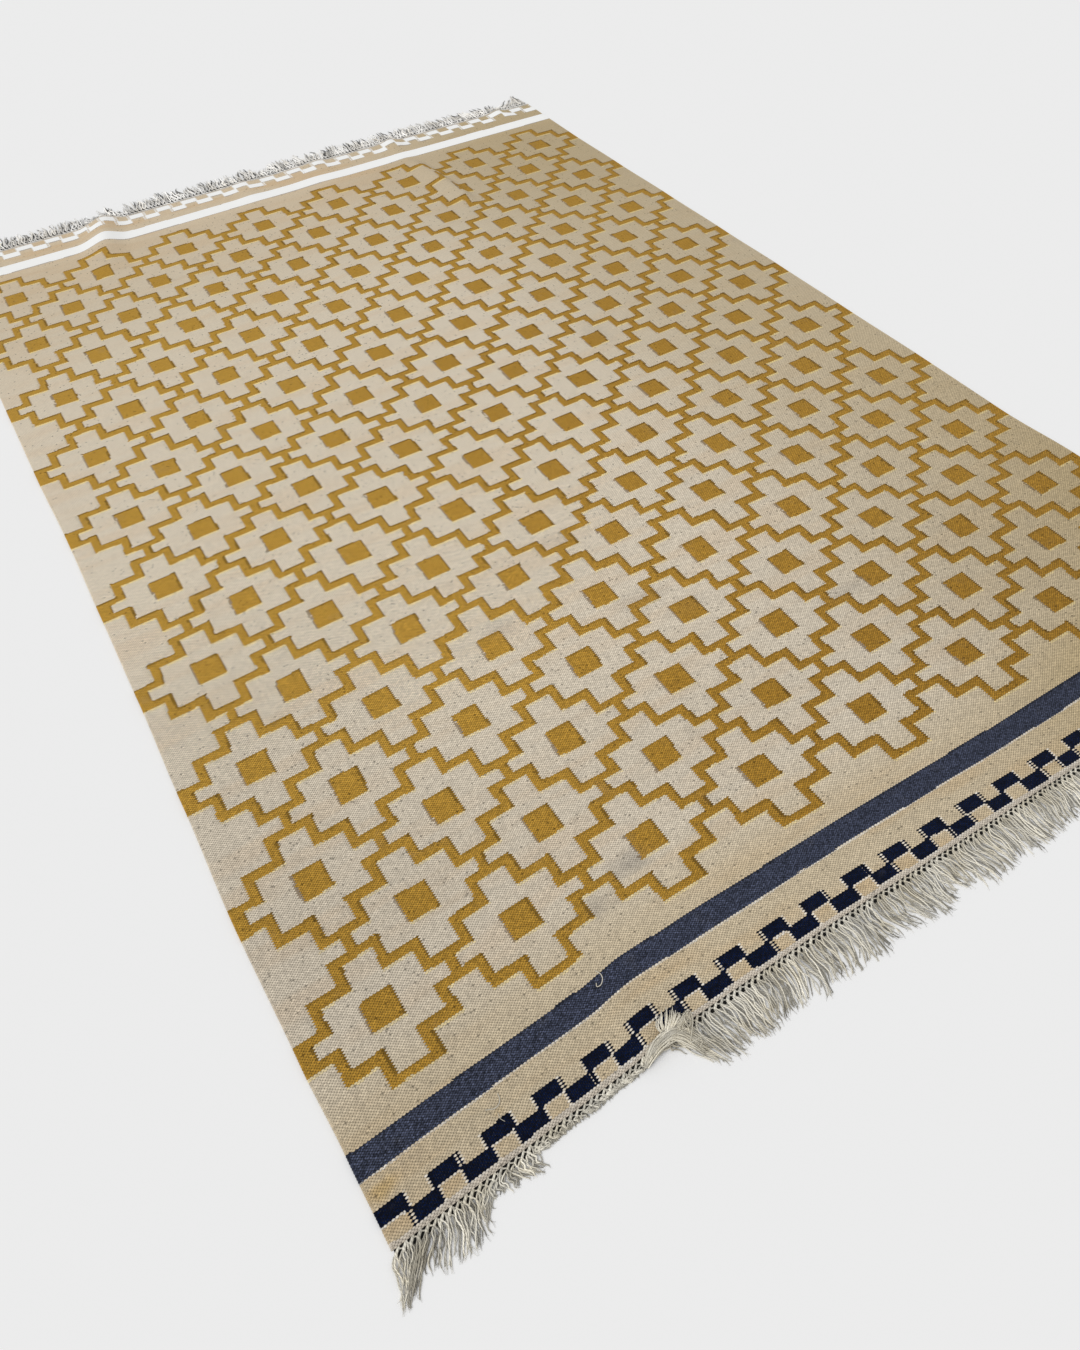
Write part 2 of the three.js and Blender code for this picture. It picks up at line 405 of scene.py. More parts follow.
def tubes(
    lines: np.ndarray, wide: np.ndarray, tall: np.ndarray, sides: int, tone: np.ndarray
) -> Surface:
    """Round or flattened tubes along many lines at once, closed at both ends.

    Each ring stands square to its line: sideways is the line's direction turned flat to the
    right, and upwards is square to both. A ring's point is the line's point plus cosine times
    the half-width sideways plus sine times the half-height upwards.

    Args:
        lines: Points by tube and station.
        wide: Half-widths by tube and station.
        tall: Half-heights by tube and station.
        sides: How many flats go round a tube.
        tone: One brightness for each tube.

    Returns:
        The surface, with its brightness on the points and the place along and round a tube on
        the corners.
    """
    count, stations = lines.shape[:2]
    ahead = np.gradient(lines, axis=1)
    ahead /= np.linalg.norm(ahead, axis=2, keepdims=True) + 1e-12
    right = np.cross(ahead, [0.0, 0.0, 1.0])
    right /= np.linalg.norm(right, axis=2, keepdims=True) + 1e-12
    upwards = np.cross(ahead, right)
    turn = np.arange(sides) * 2.0 * math.pi / sides
    ring = (
        np.cos(turn)[:, None] * right[:, :, None] * wide[..., None, None]
        + np.sin(turn)[:, None] * upwards[:, :, None] * tall[..., None, None]
    )
    points = (lines[:, :, None] + ring).reshape(-1, 3)

    tube = np.arange(count)[:, None, None] * stations * sides
    station = np.arange(stations - 1)[None, :, None] * sides
    side = np.arange(sides)[None, None, :]
    here, there = tube + station + side, tube + station + (side + 1) % sides
    quads = np.stack([here, there, there + sides, here + sides], -1).reshape(-1, 4)
    first = (tube[:, :, 0] + np.arange(sides)[::-1]).reshape(count, sides)
    last = (tube[:, :, 0] + (stations - 1) * sides + np.arange(sides)).reshape(count, sides)

    steps = np.linalg.norm(np.diff(lines, axis=1), axis=2)
    run = np.concatenate([np.zeros((count, 1)), np.cumsum(steps, axis=1)], 1)
    near = np.broadcast_to(run[:, :-1, None], (count, stations - 1, sides))
    far = np.broadcast_to(run[:, 1:, None], near.shape)
    round_low = np.broadcast_to(side / sides, near.shape)
    round_high = round_low + 1.0 / sides
    corner = [(near, round_low), (near, round_high), (far, round_high), (far, round_low)]
    around = np.stack([np.stack(c, -1) for c in corner], -2).reshape(-1, 2)
    caps = np.zeros((2 * count * sides, 2))
    tones = np.repeat(tone, stations * sides)
    corners = np.concatenate([around, caps])
    return Surface(points, [quads, first, last], {"tone": tones}, corners)


def level_square(ahead: np.ndarray) -> np.ndarray:
    """Level directions a quarter turn to the left of the given ones."""
    return np.stack([-ahead[:, 1], ahead[:, 0], np.zeros(len(ahead))], 1)


def smooth_line(marks: np.ndarray, stations: int) -> np.ndarray:
    """A soft line through a few points, each joined to the next by a cubic with shared slopes.

    Args:
        marks: The points, by row.
        stations: How many points the line has.

    Returns:
        The line's points.
    """
    count = len(marks)
    place = np.linspace(0.0, count - 1.0, stations)
    k = np.clip(place.astype(int), 0, count - 2)
    t = (place - k)[:, None]
    slope = np.gradient(marks, axis=0)
    start, end = marks[k], marks[k + 1]
    return (
        start * (1 + 2 * t) * (1 - t) ** 2
        + slope[k] * t * (1 - t) ** 2
        + end * t * t * (3 - 2 * t)
        + slope[k + 1] * t * t * (t - 1)
    )


# ---- finishes ----


def sign(operation: str) -> Callable[..., "Wire"]:
    """A method that adds one arithmetic node over a wire and any other value."""
    return lambda wire, *others: wire.graph.math(operation, wire, *others)


class Wire:
    """A value in a node tree, which ordinary signs add nodes to.

    < and > give 1 where they hold and 0 elsewhere. & is the smaller of two values, so it is 1
    where both are 1, and | is the greater, so it is 1 where either is.
    """

    __add__, __sub__, __mul__, __truediv__ = map(sign, ("ADD", "SUBTRACT", "MULTIPLY", "DIVIDE"))
    __lt__, __gt__ = map(sign, ("LESS_THAN", "GREATER_THAN"))
    __and__, __or__ = map(sign, ("MINIMUM", "MAXIMUM"))
    __abs__, floor, root = map(sign, ("ABSOLUTE", "FLOOR", "SQRT"))

    def __init__(self, graph: "Graph", socket: bpy.types.NodeSocket) -> None:
        """Holds the tree and the output that the value comes from."""
        self.graph, self.socket = graph, socket

    def __rsub__(self, other: float) -> "Wire":
        """A number less this value."""
        return self.graph.math("SUBTRACT", other, self)

    def nearest(self) -> "Wire":
        """The whole number closest to this value."""
        return (self + 0.5).floor()

    def between(self, low: float, high: float) -> "Wire":
        """1 where this value lies between two numbers, otherwise 0."""
        return (self > low) & (self < high)

    def ramp(self, low: float, high: float) -> "Wire":
        """Rises smoothly from 0 at one number to 1 at another."""
        inputs = {0: self, 1: low, 2: high}
        return self.graph.add("MapRange", 0, inputs, interpolation_type="SMOOTHSTEP")


class Graph:
    """A material's node tree, with short ways to add to it."""

    def __init__(self, name: str) -> None:
        """Starts a material that holds only a shader and the output.

        Args:
            name: The material's name.
        """
        self.material = bpy.data.materials.new(name)
        self.material.use_nodes = True
        self.tree = self.material.node_tree
        self.shader = self.tree.nodes["Principled BSDF"]

    def feed(self, node: bpy.types.Node, inputs: dict[int | str, object]) -> None:
        """Links the wires given to a node's inputs, and sets the rest to plain values.

        Args:
            node: The node.
            inputs: A wire, a number or a row of numbers for each input's name or number.
        """
        for place, value in inputs.items():
            if isinstance(value, Wire):
                self.tree.links.new(value.socket, node.inputs[place])
            else:
                node.inputs[place].default_value = value

    def add(self, kind: str, output: int | str, inputs: dict, **options: object) -> Wire:
        """Adds a node.

        Args:
            kind: Its type, without the words that all shader nodes share.
            output: The name or number of the output to read.
            inputs: What it is fed.
            options: Its options, by name.

        Returns:
            The output.
        """
        made = self.tree.nodes.new("ShaderNode" + kind)
        for key, value in options.items():
            setattr(made, key, value)
        self.feed(made, inputs)
        return Wire(self, made.outputs[output])

    def math(self, operation: str, *values: "Wire | float") -> Wire:
        """Works something out from one or two values."""
        return self.add("Math", 0, dict(enumerate(values)), operation=operation)

    def attribute(self, name: str, output: str) -> Wire:
        """Reads a value that the mesh carries."""
        return self.add("Attribute", output, {}, attribute_name=name)

    def split(self, vector: Wire) -> tuple[Wire, Wire]:
        """The first two parts of a vector."""
        return self.add("SeparateXYZ", 0, {0: vector}), self.add("SeparateXYZ", 1, {0: vector})

    def joint(self, x: "Wire | float", y: "Wire | float", z: float = 0.0) -> Wire:
        """A vector of three values."""
        return self.add("CombineXYZ", 0, {0: x, 1: y, 2: z})

    def noise(self, vector: Wire, scale: float, detail: float = 1.0, rough: float = 0.5) -> Wire:
        """Soft noise near a half: scale is its lumps to a unit, and detail its finer layers."""
        inputs = {"Vector": vector, "Scale": scale, "Detail": detail, "Roughness": rough}
        return self.add("TexNoise", "Fac", inputs, noise_dimensions="3D")

    def speck(self, vector: Wire) -> Wire:
        """A random number from 0 to 1 for each different vector."""
        return self.add("TexWhiteNoise", "Value", {"Vector": vector}, noise_dimensions="3D")

    def blend(self, share: "Wire | float", one: object, other: object) -> Wire:
        """A colour between two colours.

        Args:
            share: 0 for the first colour and 1 for the second.
            one: The first colour, as a wire or three numbers.
            other: The second colour.

        Returns:
            The colour.
        """
        both = [c if isinstance(c, Wire) else (*c, 1.0) for c in (one, other)]
        inputs = {0: share, 6: both[0], 7: both[1]}
        return self.add("Mix", 2, inputs, data_type="RGBA", clamp_factor=True)

    def scaled(self, colour: Wire, amount: Wire) -> Wire:
        """A colour made lighter or darker by an amount."""
        return self.add("VectorMath", 0, {0: colour, "Scale": amount}, operation="SCALE")

    def bump(self, height: Wire, depth: float, strength: float = 1.0) -> Wire:
        """Raises the surface by a height from 0 to 1 times a depth in metres."""
        return self.add("Bump", 0, {"Height": height, "Distance": depth, "Strength": strength})


@dataclass(frozen=True)
class Patch:
    """A soft discoloured place on the cloth, in millimetres, and how strong it is: used for
    stains, and for patches of painted shadow.
    """

    across: float
    along: float
    half_wide: float
    half_long: float
    strength: float


@dataclass(frozen=True)
class Threads:
    """What the weave's finish reads at every place.

    flat is the flat place in metres, with its parts across and along, and u and v are those
    in millimetres. a and b count the middle of the oval that shows, in steps. x and y are that
    middle in millimetres, and height is the oval's height at the place. luck and other_luck
    are two random numbers from 0 to 1 for each oval.
    """

    graph: Graph
    flat: Wire
    across: Wire
    along: Wire
    u: Wire
    v: Wire
    a: Wire
    b: Wire
    x: Wire
    y: Wire
    height: Wire
    luck: Wire
    other_luck: Wire

    @property
    def hollow(self) -> Wire:
        """1 in the dips between ovals."""
        return 1.0 - self.height.ramp(0.08, 0.5)

    @property
    def bold(self) -> Wire:
        """1 on the left, where the stripe's threads stand out, falling to 0 past the middle."""
        return 1.0 - self.across.ramp(-0.7, 0.1)

    @property
    def crisp(self) -> Wire:
        """1 at the near end, where threads look crisp, and less farther on."""
        return 1.0 - self.along.ramp(-0.65, 0.1) * 0.6 - self.along.ramp(0.1, 0.8) * 0.2

    @property
    def bands(self) -> Wire:
        """1 outside the field, at both ends."""
        return abs(self.v).ramp(1060.0, 1090.0)

    @property
    def right_part(self) -> Wire:
        """1 at the right side."""
        return self.across.ramp(0.12, 0.72)

    @property
    def far_part(self) -> Wire:
        """1 at the far end."""
        return self.along.ramp(0.75, 1.1)


@dataclass(frozen=True)
class Pattern:
    """Where each part of the pattern is: 1 on the threads that belong to it, otherwise 0.

    join is the ochre beside cream on its right, other_join the cream beside ochre on its
    right, and square_join the cream beside a square on its right. top_edge is ochre with
    cream beyond it, and below_edge is cream with ochre beyond it. navy_rim is a check's
    outermost thread, and beside_navy the cream teeth next to it. dark_top is navy or slate
    with cream beyond it, white_below is cream with navy or slate beyond it, and pale_rim is
    the near edge of the far end's pale parts.
    """

    ochre: Wire
    join: Wire
    other_join: Wire
    square_join: Wire
    top_edge: Wire
    below_edge: Wire
    slate: Wire
    navy: Wire
    navy_rim: Wire
    beside_navy: Wire
    dark_top: Wire
    white_below: Wire
    pale: Wire
    pale_rim: Wire
    end_strip: Wire


@dataclass(frozen=True)
class WovenFinish:
    """The rug's face: a weft-faced plain weave with its lattice, stripes and checks.

    Every thread that shows is a small oval. Two families of ovals lie half a step apart both
    ways, and the higher one shows. The pattern is read at the middle of the oval that shows, so
    its edges step from thread to thread as woven ones do. Sizes are in millimetres.

    steps are the half-sizes of the oblongs that make up a diamond, and square those of the
    square inside it. A row slip is a stretch of a row of diamonds that sits off its place: the
    row's place along, the stretch's middle, where it starts and stops fading on each side, and
    how far it slips. Stripes and checks are given by their edges along the cloth. A reach is
    how far from a thread its neighbour is read.
    """

    oval_step: float = 5.2
    row_step: float = 4.0
    stripe_row_step: float = 3.4
    row_sway: float = 9.0
    band_sway: float = 3.0
    hand_across: float = 13.0
    hand_along: float = 10.0
    oval_half_long: float = 2.6
    oval_half_high: float = 1.5
    repeat_across: float = 208.6
    repeat_along: float = 215.31
    steps: tuple[Row, ...] = ((21.8, 83.3), (66.7, 46.2), (96.5, 10.8))
    row_slips: tuple[Row, ...] = (
        (-430, -40, 200, 500, 11),
        (215, 100, 620, 950, -6),
        (-1040, -250, 600, 1000, 5),
    )
    square: Row = (23.0, 23.8)
    square_limit: Row = (810.0, 1040.0)
    lattice_ends: Row = (-1064.0, 1065.2)
    lattice_side: float = 840.0
    near_stripe: Row = (-1125.2, -1090.8)
    far_stripe: Row = (1097.0, 1135.0)
    near_checks: Row = (-1198.2, -1179.5, -1161.0)
    far_checks: Row = (1170.0, 1190.5, 1211.5)
    check_width: float = 36.0
    check_spread: float = 2.2
    half_width: float = 847.0
    join_reach: float = 3.2
    edge_reach: float = 3.2
    thread_reach: float = 2.1
    rim: float = 2.6
    cream: Colour = shade(214, 202, 182)
    peach: Colour = shade(210, 184, 152)
    sand: Colour = shade(196, 176, 138)
    ochre: Colour = shade(184, 143, 58)
    deep_ochre: Colour = shade(150, 109, 36)
    brown: Colour = shade(112, 82, 38)
    slate: Colour = shade(59, 64, 81)
    navy: Colour = shade(1, 13, 41)
    pale: Colour = shade(246, 246, 244)
    grey: Colour = shade(150, 152, 160)
    warp: Colour = shade(226, 221, 212)
    straw: Colour = shade(232, 210, 146)
    strip: Colour = shade(214, 203, 187)
    # the colour of soil, also used for two patches of painted shadow
    soil_and_shade: Colour = shade(128, 124, 120)
    rust: Colour = shade(196, 160, 84)
    soils_and_shadows: tuple[Patch, ...] = (
        Patch(-56, -584, 60, 26, 0.34),
        Patch(8, -640, 50, 24, 0.3),
        Patch(-290, -512, 34, 30, 0.34),
        Patch(-91, -387, 36, 26, 0.24),
        Patch(330, 120, 40, 60, 0.25),
        # painted shadow: these two patches stand for the soft shade of a crease
        Patch(-352, -984, 46, 20, 0.8),
        Patch(-426, -1013, 24, 22, 0.6),
        Patch(250, -760, 70, 20, 0.35),
    )
    rusts: tuple[Patch, ...] = (
        Patch(-826, -1146, 22, 12, 0.75),
        Patch(-676, -1154, 9, 5, 0.35),
    )

    def _ovals(self, g: Graph, u: Wire, v: Wire, step: Wire) -> tuple[Wire, Wire, Wire]:
        """Finds the oval that shows.

        An oval's height is the root of 1 less the squares of the distances from its middle, as
        shares of its half-length and half-height. The second family's middles are half a step
        over and half a row up.

        Args:
            g: The material's tree.
            u: The place across.
            v: The place along.
            step: The height of two rows.

        Returns:
            The middle of the oval across and along, counted in steps, and its height.
        """
        a, b = u / self.oval_step, v / step
        middles, spreads = [], []
        for centre_a, centre_b in (
            (a.nearest(), b.nearest()),
            (a.floor() + 0.5, b.floor() + 0.5),
        ):
            long_way = (a - centre_a) * (self.oval_step / self.oval_half_long)
            high_way = (b - centre_b) * step / self.oval_half_high
            middles.append((centre_a, centre_b))
            spreads.append(long_way * long_way + high_way * high_way)
        second = spreads[1] < spreads[0]
        (even_a, even_b), (odd_a, odd_b) = middles
        middle_a = even_a + (odd_a - even_a) * second
        middle_b = even_b + (odd_b - even_b) * second
        height = ((1.0 - (spreads[0] & spreads[1])) | 0.0).root()
        return middle_a, middle_b, height

    def _lattice(self, x: Wire, y: Wire) -> tuple[Wire, Wire]:
        """Finds what is ochre.

        The lattice repeats both ways, with a second stepped diamond half a repeat away from
        the first. A diamond's cream inside is the union of three oblongs. What lies inside no
        diamond is ochre, and so is the square in the middle of each. Beyond the lattice's side
        it is read as at its side, so that no diamond's tip comes in over a selvedge.

        Args:
            x: The place across.
            y: The place along.

        Returns:
            1 where the cloth is ochre, and 1 on the squares alone.
        """
        x = (x | -self.lattice_side) & self.lattice_side
        across, along = x / self.repeat_across, y / self.repeat_along
        du = abs(across - across.floor() - 0.5) * self.repeat_across
        dv = abs(along - along.floor() - 0.5) * self.repeat_along
        creams, squares = [], []
        for u, v in ((du, dv), (self.repeat_across / 2 - du, self.repeat_along / 2 - dv)):
            creams += [(u < wide) & (v < high) for wide, high in self.steps]
            squares.append((u < self.square[0]) & (v < self.square[1]))
        inside = (abs(x) < self.square_limit[0]) & (abs(y) < self.square_limit[1])
        ground = (1.0 - reduce(or_, creams)) & y.between(*self.lattice_ends)
        square = reduce(or_, squares) & inside
        return ground | square, square

    def _checks(self, x: Wire, y: Wire, edges: Row, field_first: bool) -> Wire:
        """1 on the dark checks of two staggered rows.

        Each check is a little wider than its even share, so that its corners meet the next.

        Args:
            x: The place across.
            y: The place along.
            edges: The lowest, middle and highest place along of the two rows.
            field_first: True if the row beside the field is the lower one.

        Returns:
            1 or 0.
        """
        low_row, high_row = y.between(edges[0], edges[1]), y.between(edges[1], edges[2])
        field_row, outer_row = (low_row, high_row) if field_first else (high_row, low_row)
        checks = []
        for wider in (-self.check_spread, self.check_spread):
            count = ((x + (wider + self.half_width)) / self.check_width).floor()
            odd = count - (count / 2.0).floor() * 2.0
            checks.append((field_row & (1.0 - odd)) | (outer_row & odd))
        return reduce(or_, checks)

    def _patch_share(self, t: Threads, patches: tuple[Patch, ...], fray: Wire) -> Wire:
        """How strongly stains and patches of painted shadow show: each fades with its oval
        distance, frayed by noise.

        Args:
            t: What the finish reads.
            patches: The stains, and the patches of painted shadow.
            fray: What is added to every distance.

        Returns:
            The share of the strongest one.
        """
        shares = []
        for s in patches:
            far_u, far_v = (t.u - s.across) / s.half_wide, (t.v - s.along) / s.half_long
            spread = (far_u * far_u + far_v * far_v).root() + fray
            shares.append((1.0 - spread.ramp(0.1, 1.25)) * s.strength)
        return reduce(or_, shares)

    def _threads(self, g: Graph) -> Threads:
        """Finds the thread that shows at every place. Its rows sway, and lie closer in the stripe.

        Args:
            g: The material's tree.

        Returns:
            What the rest of the finish reads.
        """
        flat = g.attribute("flat", "Vector")
        across, along = g.split(flat)
        u, v = across * 1000.0, along * 1000.0
        sway = (g.noise(flat, 4.0) - 0.5) * self.row_sway
        in_stripe = v.between(self.near_stripe[0] - 2, self.near_stripe[1] + 2)
        step = self.row_step - in_stripe * (self.row_step - self.stripe_row_step)
        a, b, height = self._ovals(g, u, v + sway, step)
        x, y = a * self.oval_step, b * step - sway
        luck, other_luck = g.speck(g.joint(a, b)), g.speck(g.joint(b, a, 7.0))
        return Threads(g, flat, across, along, u, v, a, b, x, y, height, luck, other_luck)

    def _pattern(self, t: Threads) -> Pattern:
        """Reads the pattern at each thread's middle, moved a little as an uneven hand would.

        Edges are found by reading it again a thread's reach to one side or farther along.

        Args:
            t: What the finish reads.

        Returns:
            Where each part of the pattern is.
        """
        g, x, y, across = t.graph, t.x, t.y, t.across
        hand_x = g.noise(g.joint(x * MM, y * MM), 9.0, 2.0, 0.4) - 0.5
        hand_y = g.noise(g.joint(y * MM, x * MM, 3.0), 9.0, 2.0, 0.4) - 0.5
        x_hand, y_hand = x + hand_x * self.hand_across, y + hand_y * self.hand_along
        for place, middle, flat_half, foot_half, slip in self.row_slips:
            in_row = 1.0 - abs(y - place).ramp(25.0, 95.0)
            y_hand = y_hand - in_row * (1.0 - abs(x - middle).ramp(flat_half, foot_half)) * slip
        ochre, _ = self._lattice(x_hand, y_hand)
        ochre_right, square_right = self._lattice(x_hand + self.join_reach, y_hand)
        ochre_above, _ = self._lattice(x_hand, y_hand + self.edge_reach)

        tooth = ((t.b - t.b.floor()) * 2.0 - 0.5) * self.oval_step
        inside = self.join_reach + 0.5 - self.half_width
        uneven_x = x + (g.noise(g.joint(across, 0.0, 8.0), 14.0) - 0.5) * self.hand_across
        check_x, other_x = (uneven_x + tooth) | inside, (uneven_x - tooth) | inside
        band_y = y + (g.noise(g.joint(across, 0.0, 2.0), 6.0) - 0.5) * self.band_sway
        above_y = band_y + self.thread_reach
        near = (self.near_checks, False)
        navy = self._checks(check_x, band_y, *near)
        navy_left = self._checks(check_x - self.join_reach, band_y, *near)
        navy_right = self._checks(check_x + self.join_reach, band_y, *near)
        navy_other = self._checks(other_x, band_y, *near)
        slate = band_y.between(*self.near_stripe)
        dark = slate | navy
        dark_above = above_y.between(*self.near_stripe) | self._checks(check_x, above_y, *near)
        far_x = across.ramp(0.45, 0.7) * 7.0 - across.ramp(-0.15, 0.2) * 16.0 + 5.0 + check_x
        pale, pale_above = (
            place.between(*self.far_stripe) | self._checks(far_x, place, self.far_checks, True)
            for place in (band_y, band_y + self.rim)
        )
        return Pattern(
            ochre=ochre,
            join=(ochre & (1.0 - ochre_right)) & (t.luck > 0.12),
            other_join=((1.0 - ochre) & ochre_right) & (t.luck > 0.45),
            square_join=((1.0 - ochre) & square_right) & (t.luck > 0.12),
            top_edge=ochre & (1.0 - ochre_above),
            below_edge=(1.0 - ochre) & ochre_above,
            slate=slate,
            navy=navy,
            navy_rim=navy & (1.0 - (navy_left & navy_right)),
            beside_navy=navy_other & (1.0 - navy),
            dark_top=dark & (1.0 - dark_above),
            white_below=dark_above & (1.0 - dark),
            pale=pale,
            pale_rim=pale_above & (1.0 - pale),
            end_strip=(y < self.near_checks[0]) | (y > self.far_checks[2]),
        )

    def _colour(self, t: Threads, p: Pattern) -> Wire:
        """Lays the colours over one another: wools, dyes, soil and two patches of painted shadow,
        warps that peep out, and edges.

        Args:
            t: What the finish reads.
            p: Where each part of the pattern is.

        Returns:
            The colour before light and shade.
        """
        g, across, along, luck = t.graph, t.across, t.along, t.luck
        warm = g.noise(g.joint(across * 3.0, along * 22.0, 4.0), 1.0, 2.0, 0.6)
        outer_row = t.y < self.near_checks[1]
        peach = warm.ramp(0.44, 0.68) * (t.bands * 0.5 + 0.3) + t.far_part * 0.35
        peach = peach + outer_row * 0.35
        tan = t.right_part * ((1.0 - along.ramp(-1.0, -0.5)) * 0.3 + 0.6)
        tan = tan + along.ramp(0.2, 1.2) * 0.3 + (1.0 - along.ramp(-1.1, -0.95)) * 0.56
        tan = tan + across.ramp(0.6, 0.85) * (1.0 - along.ramp(-0.7, 0.1)) * 0.3
        deep = across.ramp(-0.5, 0.1) * (0.4 - along.ramp(0.1, 0.6) * 0.2) + t.other_luck * 0.24
        deep = deep + (1.0 - along.ramp(-1.0, -0.4)) * 0.22
        fray = (g.noise(t.flat, 40.0, 2.0) - 0.5) * 1.2
        fleck = p.slate * (luck * 0.6 + t.bold * 0.4 + 0.1) + p.navy * (luck * 0.4)
        yellow = along.ramp(-0.8, 0.0) * 0.4 + 0.3
        colour = self.cream
        for share, paint in (
            (peach, self.peach),
            (tan, self.sand),
            (p.ochre, g.blend(deep, self.ochre, self.deep_ochre)),
            (p.end_strip, self.strip),
            (p.slate, self.slate),
            (p.navy, self.navy),
            # soil stains, and two patches of painted crease shadow
            (self._patch_share(t, self.soils_and_shadows, fray) * (0.55 - p.ochre * 0.4), self.soil_and_shade),
            (self._patch_share(t, self.rusts, fray) * 0.6, self.rust),
            (g.noise(t.flat, 17.0, 3.0, 0.65).ramp(0.58, 0.76) * 0.12, self.soil_and_shade),
            (fleck * t.hollow, self.warp),
            (p.beside_navy * (luck * 0.45 + 0.3), self.warp),
            (p.pale_rim * 0.55, self.grey),
            (p.white_below * (t.other_luck * 0.6 + 0.3), self.warp),
            (p.square_join * 0.62, self.brown),
            (p.below_edge * (luck * 0.3 + yellow), self.straw),
        ):
            colour = g.blend(share, colour, paint)
        return colour

    def _tone_and_painted_shade(self, t: Threads, p: Pattern) -> Wire:
        """How light or dark each place is: a product of many small shares.

        First come single threads, pins and dashes of shade, and each thread's own height, which
        paints light on its top and shade on its sides. Then come painted shade in the dips between
        threads and the ribs of the dark yarn, the pattern's edges, and last painted light: the
        slow falls of light and shade over the whole rug.

        Args:
            t: What the finish reads.
            p: Where each part of the pattern is.

        Returns:
            What the colour is multiplied by.
        """
        g, across, along, ochre, slate = t.graph, t.across, t.along, p.ochre, p.slate
        hollow, bold, crisp, bands, dark = t.hollow, t.bold, t.crisp, t.bands, slate | p.navy
        contrast = slate * (bold * 0.3 + 0.2) + p.navy * 0.4 + ochre * 0.08 + 0.24
        pin = g.speck(g.joint((t.u * 0.53).floor(), (t.v * 0.6).floor(), 11.0)) - 0.5
        pin_share = slate * 0.9 + p.navy + ochre * 0.12 + 0.24
        dash = g.noise(g.joint(across * 170.0, along * 1000.0, 9.0), 1.0, 1.0).ramp(0.62, 0.74)
        # painted light and shade: each thread is lighter at its top and darker at its sides, by
        # its height
        even = (t.height - 0.68) * (crisp * 0.6 + 0.4) * (1.0 - slate * bold * hollow * 0.9)
        even_share = slate * (bold * 1.3 + 0.8) + ochre * 0.2 + 0.95
        rib = abs(t.a * 2.0 - t.u * (2.0 / self.oval_step)).ramp(0.25, 0.75)
        nep = (t.other_luck > 0.986) & (t.height > 0.78) & (1.0 - dark)
        near_left = (1.0 - across.ramp(-0.8, -0.3)) * (1.0 - along.ramp(-0.6, 0.0))
        middle = along.ramp(-1.0, -0.8) * (1.0 - along.ramp(-0.5, -0.1)) * (1.0 - ochre)
        light = (t.luck - 0.5) * contrast * crisp + 1.0
        for factor in (
            pin * pin_share * crisp + 1.0,
            1.0 - dash * crisp * 0.26,
            # painted light and shade by each thread's height
            even * even_share + 1.0 - slate * (bold * 0.06 + 0.08),
            # painted shade in the dips between threads
            1.0 - hollow * (t.other_luck * 0.5 + ochre * 0.4 + 0.12),
            1.0 - nep * 0.62,
            # painted shade between the ribs of the dark yarn
            1.0 - dark * rib * 0.4,
            1.0 - p.dark_top * 0.45,
            1.0 - p.top_edge * (along.ramp(-0.8, 0.0) * 0.24 + 0.22),
            1.0 - p.join * 0.5,
            1.0 - p.other_join * 0.16,
            1.0 - p.navy_rim * 0.3,
            p.beside_navy * 0.06 + 1.0,
            # painted light and shade: slow falls of light over the whole rug, darker to the right,
            # at the near end, at the near left and far off
            1.04 - across.ramp(0.02, 0.62) * 0.13,
            1.0 - (1.0 - along.ramp(-1.0, -0.5)) * 0.1,
            1.0 - near_left * 0.11,
            1.0 - along.ramp(0.55, 0.8) * 0.035,
            1.0 - middle * 0.04,
            ochre * t.right_part * 0.08 + 1.0,
            1.0 - bands * 0.03,
            1.0 - across.ramp(0.62, 0.8) * 0.03,
            t.far_part * bands * 0.08 + 1.0,
            # painted shade in the dips of the end strips
            1.0 - p.end_strip * hollow * 0.1,
        ):
            light = light * factor
        return light

    def material(self) -> bpy.types.Material:
        """Builds the finish over the cloth's flat coordinates.

        Returns:
            The material.
        """
        g = Graph("kilim_weave")
        t = self._threads(g)
        p = self._pattern(t)
        # the dyed colours times their tone and the painted light and shade
        dyed_and_shaded = g.scaled(self._colour(t, p), self._tone_and_painted_shade(t, p))
        fibre = g.noise(g.joint(t.across * 1400.0, t.along * 3600.0), 1.0, 1.0)
        relief = (t.height + fibre * 0.22 - p.join * 0.35) * (1.0 - p.pale * 0.7)
        inputs = {
            "Base Color": g.blend(p.pale, dyed_and_shaded, self.pale),
            "Roughness": fibre * 0.16 + 0.8,
            "Normal": g.bump(relief, 0.8 * MM),
            "Specular IOR Level": 0.12,
            "Sheen Weight": 0.02,
            "Sheen Roughness": 0.5,
        }
        g.feed(g.shader, inputs)
        return g.material


